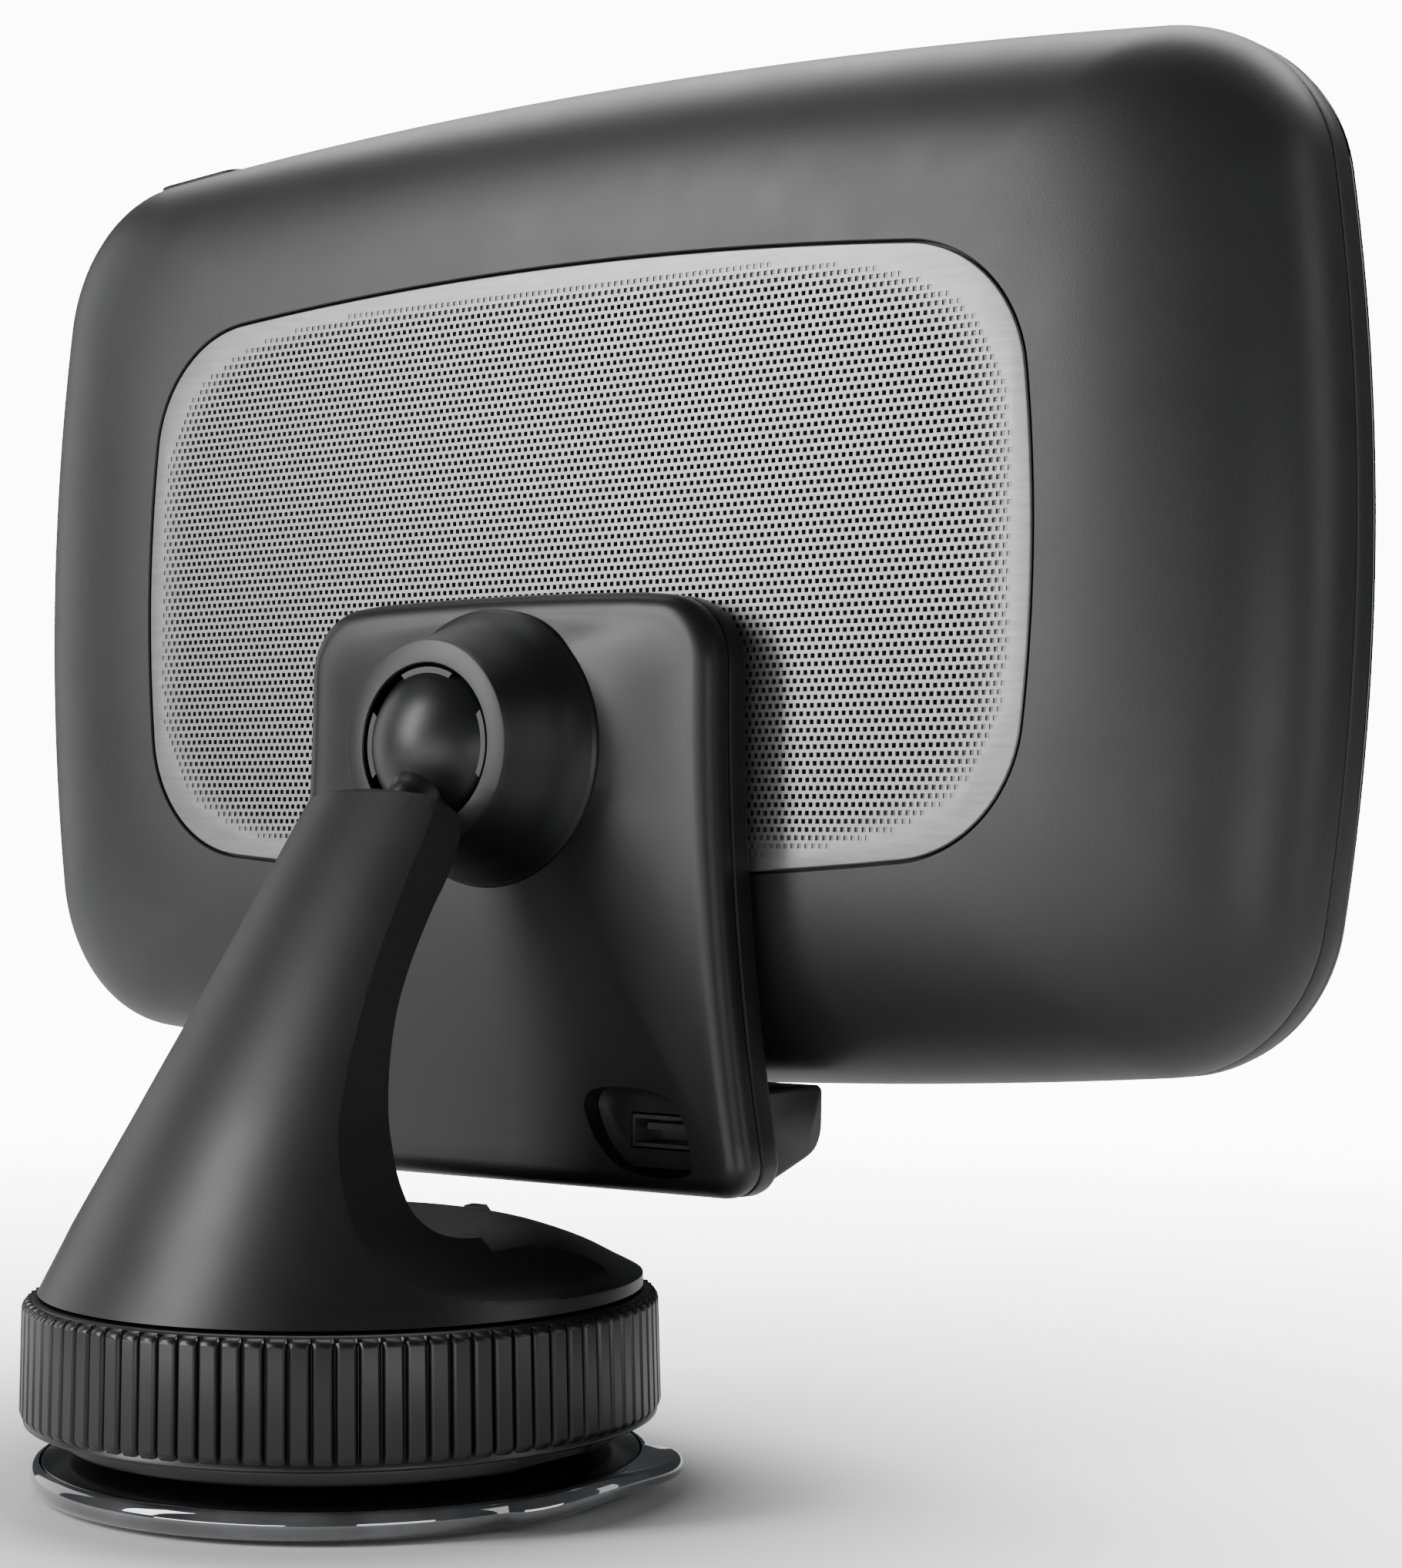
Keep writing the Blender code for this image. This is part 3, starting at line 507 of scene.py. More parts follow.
def pane_material():
    """Black-backed glass with a faintly lighter picture area."""
    mat, tree, shader = new_material("screen_glass", (0.006, 0.006, 0.008), 0.05,
                                     Coat_Weight=1.0)
    coords = tree.nodes.new("ShaderNodeTexCoord")
    parts = tree.nodes.new("ShaderNodeSeparateXYZ")
    tree.links.new(coords.outputs["Object"], parts.inputs["Vector"])
    inside = node_math(tree, "MULTIPLY", *(
        node_math(tree, "LESS_THAN", node_math(
            tree, "ABSOLUTE", node_math(tree, "SUBTRACT", parts.outputs[axis], middle)), half)
        for axis, middle, half in PICTURE_AREA))
    shade = ramp(tree, inside, (0.004, 0.004, 0.005), (0.016, 0.017, 0.021), 0.0, 1.0)
    tree.links.new(shade, shader.inputs["Base Color"])
    tree.links.new(span(tree, noise(tree, 60.0, 4.0), 0.04, 0.08), shader.inputs["Roughness"])
    return mat


def clear_edge_material():
    """Polished clear elastomer edge of the suction disc."""
    mat, tree, shader = new_material("clear_edge", (0.03, 0.03, 0.032), 0.05, IOR=1.9,
                                     Coat_Weight=1.0, Coat_Roughness=0.02)
    shade = ramp(tree, noise(tree, 90.0, 3.0), (0.01, 0.01, 0.011), (0.10, 0.10, 0.105))
    tree.links.new(shade, shader.inputs["Base Color"])
    tree.links.new(span(tree, noise(tree, 240.0, 3.0), 0.02, 0.07), shader.inputs["Roughness"])
    bump(tree, shader, noise(tree, 110.0, 2.0), 0.2, 0.0002)
    return mat


MATERIALS = {}


def make_materials(look):
    MATERIALS.update({
        "charcoal_shell": grained("shell_plastic", look.shell, 0.44),
        "satin_black": grained("satin_plastic", look.satin, 0.40, 6500.0, 0.08),
        "ring_black": grained("ring_plastic", look.satin, 0.36, 6500.0, 0.06),
        "rubber": grained("soft_rubber", (0.02, 0.02, 0.02), 0.7, 3000.0, 0.2),
        "suction_black": grained("gloss_rubber", look.suction, 0.2, 3000.0, 0.03),
        "grille_grey": grille_material(look.grille),
        "steel": brushed_steel(),
        "board_green": board_material(),
        "contact_gold": grained("gold_plate", (0.8, 0.58, 0.22), 0.28, 5000.0, 0.05,
                                Metallic=1.0),
        "acoustic_cloth": cloth_material(),
        "front_glass": pane_material(),
        "dark_steel": grained("dark_plated_steel", (0.16, 0.16, 0.165), 0.32, 5000.0, 0.05,
                              Metallic=0.8),
        "clear_edge": clear_edge_material(),
    })


# ---------------------------------------------------------------- settings

def length(name, description, default):
    """A length property; its default is given in millimetres."""
    return FloatProperty(name=name, description=description, default=default * MM,
                         unit="LENGTH", precision=5)


def colour(name, description, default):
    return FloatVectorProperty(name=name, description=description, default=default, size=3,
                               subtype="COLOR", min=0.0, max=1.0)


class LookSettings(bpy.types.PropertyGroup):
    shell: colour("Shell", "Colour of the rear shell and side band", (0.0150, 0.0150, 0.0155))
    satin: colour("Mount", "Colour of the dock, the arm and the ring", (0.0065, 0.0065, 0.0068))
    suction: colour("Suction disc", "Colour of the suction disc", (0.006, 0.006, 0.0065))
    grille: colour("Grille", "Light tone of the speaker plate", (0.27, 0.27, 0.273))


class ShellSettings(bpy.types.PropertyGroup):
    rings: IntProperty(name="Rings", description="Sections from the seam to the grille",
                       default=34, min=8)
    wall: length("Wall", "Thickness of the rear shell", 1.9)
    edge: length("Edge", "Rounding at the seam", 0.3)


class GrilleSettings(bpy.types.PropertyGroup):
    pitch: length("Pitch", "Hole spacing along a row", 0.76)
    row_pitch: length("Row pitch", "Spacing of the rows", 0.74)
    hole: length("Hole", "Side of a square hole", 0.45)
    depth: length("Depth", "Depth of a full hole", 0.55)
    fade: FloatProperty(name="Fade", description="Share of the field where holes turn to dimples",
                        default=0.15, min=0.01, max=1.0, subtype="FACTOR")


class DockSettings(bpy.types.PropertyGroup):
    crown: length("Crown", "Rise of the cover to the boss", 1.15)
    rounding: length("Rounding", "Edge rounding of the cover", 2.0)


class SocketSettings(bpy.types.PropertyGroup):
    steps: IntProperty(name="Steps", description="Facets round the turned pieces",
                       default=144, min=24)


class ArmSettings(bpy.types.PropertyGroup):
    facets: IntProperty(name="Facets", description="Facets round the leaning cone",
                        default=240, min=24)
    spans: IntProperty(name="Spans", description="Steps between the points of the cut lines",
                       default=6, min=2)
    edge: length("Edge", "Rounding of the arm's edges", 0.22)


class RingSettings(bpy.types.PropertyGroup):
    ribs: IntProperty(name="Ribs", description="Flat ribs round the twist ring", default=92, min=3)
    radius: length("Radius", "Radius at the rib roots", 27.35)


class CupSettings(bpy.types.PropertyGroup):
    tab: length("Tab", "Reach of the pull tab beyond the disc", 4.4)
    lift: length("Lift", "Rise of the tab's tip", 1.3)


class StageSettings(bpy.types.PropertyGroup):
    lens: FloatProperty(name="Lens", description="Focal length", default=73.453, unit="CAMERA")
    key: FloatProperty(name="Key", description="Power of the main softbox", default=2.6, min=0.0,
                       unit="POWER")


SETTINGS = {
    "alert_look": LookSettings, "alert_shell": ShellSettings, "alert_grille": GrilleSettings,
    "alert_dock": DockSettings, "alert_socket": SocketSettings, "alert_arm": ArmSettings,
    "alert_ring": RingSettings, "alert_cup": CupSettings, "alert_stage": StageSettings,
}


# ---------------------------------------------------------------- geometry nodes

class Nodes:
    """A Geometry Nodes group with a few short-hands."""

    def __init__(self, name, inputs, takes_mesh):
        self.group = bpy.data.node_groups.new(name, "GeometryNodeTree")
        face = self.group.interface
        face.new_socket("Geometry", in_out="OUTPUT", socket_type="NodeSocketGeometry")
        if takes_mesh:
            face.new_socket("Geometry", in_out="INPUT", socket_type="NodeSocketGeometry")
        self.ids = {}
        for label, kind in inputs:
            made = face.new_socket(label, in_out="INPUT", socket_type=kind)
            self.ids[label] = made.identifier
        self.input = self.group.nodes.new("NodeGroupInput")
        self.output = self.group.nodes.new("NodeGroupOutput")

    def add(self, kind, **settings):
        node = self.group.nodes.new(kind)
        for key, value in settings.items():
            setattr(node, key, value)
        return node

    def join(self, source, target):
        self.group.links.new(source, target)

    def math(self, operation, a, b=None):
        return node_math(self.group, operation, a, b)

    def close(self, geometry):
        """Every group ends in Realize Instances and Set Material."""
        real = self.add("GeometryNodeRealizeInstances")
        paint = self.add("GeometryNodeSetMaterial")
        self.join(geometry, real.inputs[0])
        self.join(real.outputs[0], paint.inputs["Geometry"])
        self.join(self.input.outputs["Material"], paint.inputs["Material"])
        self.join(paint.outputs[0], self.output.inputs[0])

    def apply(self, obj, values):
        mod = obj.modifiers.new(self.group.name, "NODES")
        mod.node_group = self.group
        for label, value in values.items():
            mod[self.ids[label]] = value
        return applied(obj)


def perforation_group():
    """Staggered square holes over a bowed field, shallow at its border, cut from a plate."""
    floats = ["Pitch", "Row Pitch", "Hole", "Depth", "Fade", "Half Width", "Half Height", "Surface"]
    nodes = Nodes("perforations", [("Columns", "NodeSocketInt"), ("Rows", "NodeSocketInt")]
                  + [(label, "NodeSocketFloat") for label in floats]
                  + [("Material", "NodeSocketMaterial")], True)
    take = nodes.input.outputs
    grid = nodes.add("GeometryNodeMeshGrid")
    nodes.join(take["Columns"], grid.inputs["Vertices X"])
    nodes.join(take["Rows"], grid.inputs["Vertices Y"])
    wide = nodes.math("MULTIPLY", nodes.math("SUBTRACT", take["Columns"], 1), take["Pitch"])
    high = nodes.math("MULTIPLY", nodes.math("SUBTRACT", take["Rows"], 1), take["Row Pitch"])
    nodes.join(wide, grid.inputs["Size X"])
    nodes.join(high, grid.inputs["Size Y"])
    index = nodes.add("GeometryNodeInputIndex").outputs[0]
    odd = nodes.math("MODULO", nodes.math("MODULO", index, take["Rows"]), 2)
    shift = nodes.math("MULTIPLY", odd, nodes.math("MULTIPLY", take["Pitch"], 0.5))
    offset = nodes.add("ShaderNodeCombineXYZ")
    nodes.join(shift, offset.inputs["X"])
    nodes.join(take["Surface"], offset.inputs["Z"])
    moved = nodes.add("GeometryNodeSetPosition")
    nodes.join(grid.outputs["Mesh"], moved.inputs["Geometry"])
    nodes.join(offset.outputs[0], moved.inputs["Offset"])
    place = nodes.add("ShaderNodeSeparateXYZ")
    nodes.join(nodes.add("GeometryNodeInputPosition").outputs[0], place.inputs[0])
    terms = []
    for axis, half in (("X", "Half Width"), ("Y", "Half Height")):
        share = nodes.math("DIVIDE", nodes.math("ABSOLUTE", place.outputs[axis]), take[half])
        terms.append(nodes.math("POWER", share, FIELD_POWER))
    reach = nodes.math("POWER", nodes.math("ADD", *terms), 1 / FIELD_POWER)
    inside = nodes.math("LESS_THAN", reach, 1.0)
    across = nodes.math("ABSOLUTE", place.outputs["X"])
    behind_x = nodes.math("LESS_THAN", across, BEHIND_DOCK[0])
    behind_y = nodes.math("LESS_THAN", place.outputs["Y"], BEHIND_DOCK[1])
    keep = nodes.math("SUBTRACT", inside, nodes.math("MULTIPLY", behind_x, behind_y))
    soft = nodes.math("DIVIDE", nodes.math("SUBTRACT", 1.0, reach), take["Fade"])
    soft = nodes.math("MINIMUM", nodes.math("ADD", soft, SHALLOWEST), 1.0)
    cube = nodes.add("GeometryNodeMeshCube")
    size = nodes.add("ShaderNodeCombineXYZ")
    nodes.join(take["Hole"], size.inputs["X"])
    nodes.join(take["Hole"], size.inputs["Y"])
    nodes.join(nodes.math("MULTIPLY", take["Depth"], 2.0), size.inputs["Z"])
    nodes.join(size.outputs[0], cube.inputs["Size"])
    scale = nodes.add("ShaderNodeCombineXYZ")
    scale.inputs["X"].default_value = 1
    scale.inputs["Y"].default_value = 1
    nodes.join(soft, scale.inputs["Z"])
    punch = nodes.add("GeometryNodeInstanceOnPoints")
    nodes.join(moved.outputs[0], punch.inputs["Points"])
    nodes.join(keep, punch.inputs["Selection"])
    nodes.join(cube.outputs["Mesh"], punch.inputs["Instance"])
    nodes.join(scale.outputs[0], punch.inputs["Scale"])
    solid = nodes.add("GeometryNodeRealizeInstances")
    nodes.join(punch.outputs[0], solid.inputs[0])
    cut = nodes.add("GeometryNodeMeshBoolean", operation="DIFFERENCE", solver="MANIFOLD")
    nodes.join(take["Geometry"], cut.inputs["Mesh 1"])
    nodes.join(solid.outputs[0], cut.inputs["Mesh 2"])
    nodes.close(cut.outputs["Mesh"])
    return nodes


def rib_group():
    """Copies of one rib round a circle, each turned to face outwards."""
    nodes = Nodes("ribs", [("Count", "NodeSocketInt"), ("Radius", "NodeSocketFloat"),
                           ("Rib", "NodeSocketObject"), ("Material", "NodeSocketMaterial")], False)
    take = nodes.input.outputs
    circle = nodes.add("GeometryNodeMeshCircle")
    nodes.join(take["Count"], circle.inputs["Vertices"])
    nodes.join(take["Radius"], circle.inputs["Radius"])
    place = nodes.add("ShaderNodeSeparateXYZ")
    nodes.join(nodes.add("GeometryNodeInputPosition").outputs[0], place.inputs[0])
    turn = nodes.add("ShaderNodeCombineXYZ")
    nodes.join(nodes.math("ARCTAN2", place.outputs["Y"], place.outputs["X"]), turn.inputs["Z"])
    info = nodes.add("GeometryNodeObjectInfo")
    nodes.join(take["Rib"], info.inputs["Object"])
    copies = nodes.add("GeometryNodeInstanceOnPoints")
    nodes.join(circle.outputs[0], copies.inputs["Points"])
    nodes.join(info.outputs["Geometry"], copies.inputs["Instance"])
    nodes.join(turn.outputs[0], copies.inputs["Rotation"])
    nodes.close(copies.outputs[0])
    return nodes


# ---------------------------------------------------------------- pieces

def build_shell(cfg):
    shell = MATERIALS["charcoal_shell"]
    count = cfg.rings
    wall = cfg.wall / MM
    edge = cfg.edge / MM
    shelf_y, floor_y = 16.9, 16.1
    rings = [at_y(seam_outline(edge), SEAM_Y), at_y(seam_outline(edge * 0.3), SEAM_Y + 0.08)]
    for i in range(count + 1):
        k = (i / count) ** 2.2
        outline = blend(seam_outline(), grille_outline(-0.32), k)
        rings.append(at_y(outline, max(pillow_y(k), SEAM_Y + 0.3)))
    rings += [at_y(grille_outline(inset), y) for inset, y in
              ((-0.22, BACK_Y - 0.12), (-0.22, shelf_y), (2.2, shelf_y), (2.2, floor_y))]
    for k in (0.85, 0.6, 0.4, 0.22, 0.1, 0.03):
        inner = blend(seam_outline(wall), grille_outline(wall), k)
        rings.append(at_y(inner, min(pillow_y(k) - 1.7, floor_y)))
    rings.append(at_y(seam_outline(wall), SEAM_Y))
    housing = loft("rear_shell", rings, shell, around=True)
    tilt = TO_WORLD @ Matrix.Translation((*KEY_PLACE, 46.0)) @ KEY_TILT
    combine(housing, [box_cutter("window", (-5.8, -1.9, -4), (5.8, 1.9, 4), tilt)])
    finish_piece(housing, "screen_unit", "charcoal_shell", "rear_housing")

    band = [at_y(seam_outline(inset), y) for inset, y in
            ((2.2, 1.35), (0.3, 1.35), (0.08, 1.5), (0, 1.75),
             (0, 4.15), (0.12, 4.4), (0.3, 4.5), (2.2, 4.5))]
    ring = loft("side_band", band, shell, around=True)
    finish_piece(ring, "screen_unit", "charcoal_shell", "side_frame")

    pane = [at_y(seam_outline(inset), y) for inset, y in
            ((1.2, 0.0), (0.7, 0.05), (0.35, 0.22), (0.2, 0.5),
             (0.2, 0.85), (0.45, 1.1), (0.8, 1.12))]
    glass = loft("screen_pane", pane, MATERIALS["front_glass"], sharp=60)
    finish_piece(glass, "screen_unit", "front_glass", "front_glass")

    half_x, half_y = 5.5, 1.6
    key = round_profile([(-half_x, -half_y, 1.5), (half_x, -half_y, 1.5),
                         (half_x, half_y, 1.5), (-half_x, half_y, 1.5)], 6)
    rows = [[(x * (1 - inset / half_x), y * (1 - inset / half_y), z) for x, y in key]
            for inset, z in ((0, -2.0), (0, 0.0), (0.12, 0.17), (0.4, 0.25))]
    where = TO_WORLD @ Matrix.Translation((*KEY_PLACE, 45.85)) @ KEY_TILT
    button = loft("power_cap", rows, shell, where)
    finish_piece(button, "power_key", "charcoal_shell", "power_button")


def build_grille(cfg):
    """The plate is drawn flat, cut by Geometry Nodes, then stood on the back of the unit."""
    silver = MATERIALS["grille_grey"]
    rows = [[(x, y, z) for x, y in grille_outline(inset)]
            for inset, z in ((0, 17.2), (0, 17.82), (0.12, 17.97), (0.3, BACK_Y))]
    plate = loft("speaker_plate", rows, silver, MM_WORLD)
    perforation_group().apply(plate, {
        "Columns": HOLE_COLUMNS, "Rows": HOLE_ROWS, "Pitch": cfg.pitch,
        "Row Pitch": cfg.row_pitch, "Hole": cfg.hole, "Depth": cfg.depth, "Fade": cfg.fade,
        "Half Width": HOLE_FIELD[0], "Half Height": HOLE_FIELD[1], "Surface": BACK_Y * MM,
        "Material": silver,
    })
    stand = Matrix(((1, 0, 0, 0), (0, 0, 1, 0), (0, 1, 0, 0), (0, 0, 0, 1)))
    plate.data.transform(stand)
    plate.data.flip_normals()
    plate.data.transform(TO_WORLD @ Matrix.Scale(1 / MM, 4))
    plate.data.shade_smooth()
    plate.data.set_sharp_from_angle(angle=math.radians(25))
    combine(plate, [box_cutter("pad_window", (8.2, 16, -26.6), (21.0, 19, -21.4))], sharp=25)
    finish_piece(plate, "screen_unit", "grille_grey", "speaker_grille")


def build_dock(cfg):
    satin = MATERIALS["satin_black"]
    size = cfg.rounding / MM
    crown = cfg.crown / MM
    foot_y = 21.85
    rings = [at_y(dock_outline(inset), y) for inset, y in
             ((0.25, foot_y), (0.03, 21.98), (0, 22.2))]
    for i in range(9):
        t = math.pi / 2 * i / 8
        rings.append(at_y(dock_outline(size * (1 - math.cos(t))),
                          DOCK_FACE_Y - size + size * math.sin(t)))
    rim = dock_outline(size)
    boss = boss_circle(11.9)
    reach = [math.hypot(a[0] - b[0], a[1] - b[1]) for a, b in zip(rim, boss)]
    for i in range(1, 19):
        k = i / 18
        rise = crown * (3 * k ** 2 - 2 * k ** 3)
        ring = blend(rim, boss, k)
        rings.append([(x, DOCK_FACE_Y + rise * min(1.0, d / 7.0), z)
                      for (x, z), d in zip(ring, reach)])
    rings += [at_y(boss_circle(10.6), y) for y in (24.9, DOCK_INNER_Y)]
    rings += [at_y(dock_outline(DOCK_WALL), y) for y in (DOCK_INNER_Y, foot_y)]
    cover = loft("dock_back", rings, satin, around=True)
    combine(cover, [slab("recess_cut", recess_outline(), 20, 30, satin)])
    finish_piece(cover, "dock", "satin_black", "dock_cover")

    lip = [at_y(recess_outline(grow), y) for grow, y in
           ((0.9, 21.3), (0.9, 22.75), (0.05, 22.75), (-0.5, 22.35), (-1.3, 22.2))]
    cup = loft("usb_recess", lip, MATERIALS["charcoal_shell"])
    combine(cup, [box_cutter("foot", (-30, 20, -60), (-5, 24, -55.2)),
                  box_cutter("window", (-22.4, 20, -53.55), (-14.4, 24, -50.25))])
    finish_piece(cup, "dock", "satin_black", "usb_recess_cup")

    body = [at_y(dock_outline(inset), y) for inset, y in
            ((DOCK_WALL, 19.4), (DOCK_WALL, 21.55), (0.25, 21.55), (0.03, 21.42), (0, 21.2),
             (0, 19.6), (0.1, 19.15), (0.35, 18.8), (0.8, 18.62))]
    tray = loft("dock_body", body, satin)
    side = round_profile([(19.6, -47.7, 0), (10.0, -47.7, 0.7),
                          (10.0, -53.6, 2.4), (19.6, -56.7, 0)], 7)
    rows = []
    for x, shrink in ((-27.3, 0.45), (-27.15, 0.15), (-26.85, 0),
                      (26.85, 0), (27.15, 0.15), (27.3, 0.45)):
        rows.append([(x, y if y > 19 else y + shrink, z + (shrink if z < -50 else -shrink))
                     for y, z in side])
    shelf = loft("shelf", rows, satin)
    combine(tray, [shelf], "UNION")
    combine(tray, [box_cutter("hollow", (-24.5, 12.0, -53.2), (24.5, 20.6, -49.3)),
                   box_cutter("slot", (9.6, 17, -24.9), (19.6, 20, -23.1))])
    finish_piece(tray, "dock", "satin_black", "dock_tray")


def sphere_points(radius, start, end, count):
    found = []
    for i in range(count):
        t = math.radians(start + (end - start) * i / (count - 1))
        found.append((radius * math.sin(t), radius * math.cos(t)))
    return found


def build_socket(cfg):
    satin = MATERIALS["satin_black"]
    where = TO_WORLD @ Matrix.Translation(BALL_UNIT) @ UP_TO_Y
    front = 5.77
    flare = smooth_line([(9.58, front - 0.35), (10.15, 3.4), (10.95, 1.0), (11.7, -1.2),
                         (12.65, -2.95)], 8)
    flare += [(12.85, -3.1), (12.95, -3.3), (12.95, -4.6)]
    profile = [(7.39, front - 0.12), (7.5, front), (9.3, front), (9.46, front - 0.06)] + flare
    profile += [(10.45, -4.6), (10.45, 0.3), (7.5, 5.2), (7.39, 5.35)]
    collar = turned("collar_cone", profile, satin, where, cfg.steps)
    finish_piece(collar, "dock", "satin_black", "ball_collar")

    profile = [(6.5, 5.52), (7.05, 5.52), (7.15, 5.35), (10.1, 0.0), (10.1, -9.3), (9.7, -9.65),
               (0, -9.65)]
    profile += reversed(sphere_points(9.25, 95.5, 180.0, 12))
    profile += reversed(sphere_points(8.57, 51.8, 93.0, 14))
    clamp = turned("clamp_fingers", profile, satin, where, cfg.steps)
    cutters = []
    for angle in (45, 135):
        turn = where @ Matrix.Rotation(math.radians(angle), 4, "Z")
        cutters.append(box_cutter("slot", (-15, -2.35, 1.0), (15, 2.35, 8), turn))
    bm = bmesh.new()
    tilt = Matrix.Rotation(-(NECK_DROP + LEAN), 4, "X") @ Matrix.Translation((0, 0, 11))
    bmesh.ops.create_cone(bm, cap_ends=True, segments=64, radius1=2.85, radius2=2.85, depth=10)
    cutters.append(bm_object("relief", bm, satin, where @ tilt))
    combine(clamp, cutters)
    finish_piece(clamp, "socket", "satin_black", "socket_clamp")

    profile = [(0, 17.0), (2.0, 17.0), (2.3, 16.7), (2.32, 10.6), (2.36, 9.4), (2.5, 8.9),
               (2.72, 8.45), (2.8, 8.03)]
    profile += sphere_points(BALL_RADIUS, 19.5, 180, 40)
    profile[-1] = (0, -BALL_RADIUS)
    stud = turned("ball_and_neck", profile, satin, NECK_PLACE, cfg.steps, sharp=50)
    finish_piece(stud, "mount", "satin_black", "ball_stud")


def flat_run(name, outline, low, high, axis):
    """An outline in the XZ plane run along Y, or in the YZ plane run along X."""
    def spot(a, b, along):
        return (along, a, b) if axis == "X" else (a, along, b)
    rings = [[spot(a, b, side) for a, b in outline] for side in (low, high)]
    return loft(name, rings, MATERIALS["satin_black"], MM_WORLD)


def build_arm(cfg):
    """A leaning cone cut by flaring sides, a hollow front and a domed hub, with soft edges."""
    satin = MATERIALS["satin_black"]
    levels = smooth_line([(16.97, 26.4, 0), (22, 25.2, -2.0), (27, 24.1, -3.9),
                          (34, 22.5, -6.6), (42, 20.6, -10.1), (50, 18.77, -13.9),
                          (58.5, 16.8, -18.05), (64, 15.5, -20.7)], 4)
    rows = [[(x, y + v, z) for x, v in arc((0, 0), radius, 0, 360, cfg.facets + 1)[:-1]]
            for z, radius, y in levels]
    arm = loft("leaning_arm", rows, satin, MM_WORLD)
    side = smooth_line([(2.8, 62.6), (4.9, 61.9), (6.6, 61.0), (7.5, 59.8), (7.85, 58.4),
                        (8.07, 56), (8.54, 50), (9.67, 42), (11.46, 34), (12.88, 30),
                        (14.35, 27), (16.0, 24.3), (18.3, 21.9), (22.3, 19.2), (26.8, 18.1)],
                       cfg.spans)
    cutters = []
    for sign in (1, -1):
        outline = [(sign * x, z) for x, z in [*side, (45, 18.1), (45, 70), (2.8, 70)]]
        cutters.append(flat_run("side_cut", outline, -60, 60, "Y"))
    front = smooth_line([(-9.0, 60.5), (-6.9, 58.1), (-6.3, 56), (-4.6, 53), (-2.1, 50),
                         (1.0, 46), (3.6, 42), (5.5, 38), (6.9, 34), (7.9, 30), (8.4, 27),
                         (8.1, 24.8), (6.2, 23.2), (2, 22.6), (-6, 22.8), (-16, 23.2),
                         (-30, 23.5)], cfg.spans)
    cutters.append(flat_run("front_cut", [*front, (-50, 23.5), (-50, 70), (-9.0, 70)],
                               -20, 20, "X"))
    slope = Matrix.Translation((0, -3.2, 60.3)) @ Matrix.Rotation(math.radians(31.8), 4, "X")
    cutters.append(box_cutter("top_cut", (-30, -30, 0), (30, 30, 25), MM_WORLD @ slope))
    crown = smooth_line([(9, 23.3), (12, 22.9), (15.5, 22.3), (18.5, 21.5), (22, 20.2),
                         (24.5, 18.9), (25.6, 18.35), (27, 17.6)], 3)
    dome = turned("dome_cut", [*crown, (50, 17.6), (50, 30), (9, 30)], satin, MM_WORLD)
    combine(dome, [box_cutter("rear_half", (-60, 2.0, 0), (60, 60, 70), MM_WORLD)])
    cutters.append(dome)
    combine(arm, cutters)
    mod = arm.modifiers.new("weld", "WELD")
    mod.merge_threshold = 0.04 * MM
    mod = arm.modifiers.new("soft_edges", "BEVEL")
    mod.limit_method = "ANGLE"
    mod.angle_limit = math.radians(28)
    mod.width = cfg.edge
    mod.segments = 3
    mod = arm.modifiers.new("even_shading", "WEIGHTED_NORMAL")
    mod.keep_sharp = False
    applied(arm)
    finish_piece(arm, "mount", "satin_black", "arm_base")

    rim = round_profile([(2.65, 14.9, 0), (3.3, 14.9, 0), (3.3, 11.5, 0.4), (2.65, 11.5, 0.1)])
    boss = turned("neck_boss", rim, satin, NECK_PLACE, 72)
    finish_piece(boss, "mount", "satin_black", "arm_base")
    hub = turned("arm_hub", [(19.4, 17.0), (22.8, 17.0), (22.8, 5.9), (22.7, 5.76),
                             (19.5, 5.76), (19.4, 5.9)], satin, MM_WORLD)
    finish_piece(hub, "mount", "satin_black", "arm_base")
    wedge = flat_run("index_wedge", [(-17.3, 21.0), (-17.3, 22.1), (-17.4, 22.17),
                                        (-18.5, 22.25), (-18.7, 22.2), (-20.4, 20.4)],
                        -0.8, 0.8, "X")
    finish_piece(wedge, "mount", "satin_black", "arm_base")


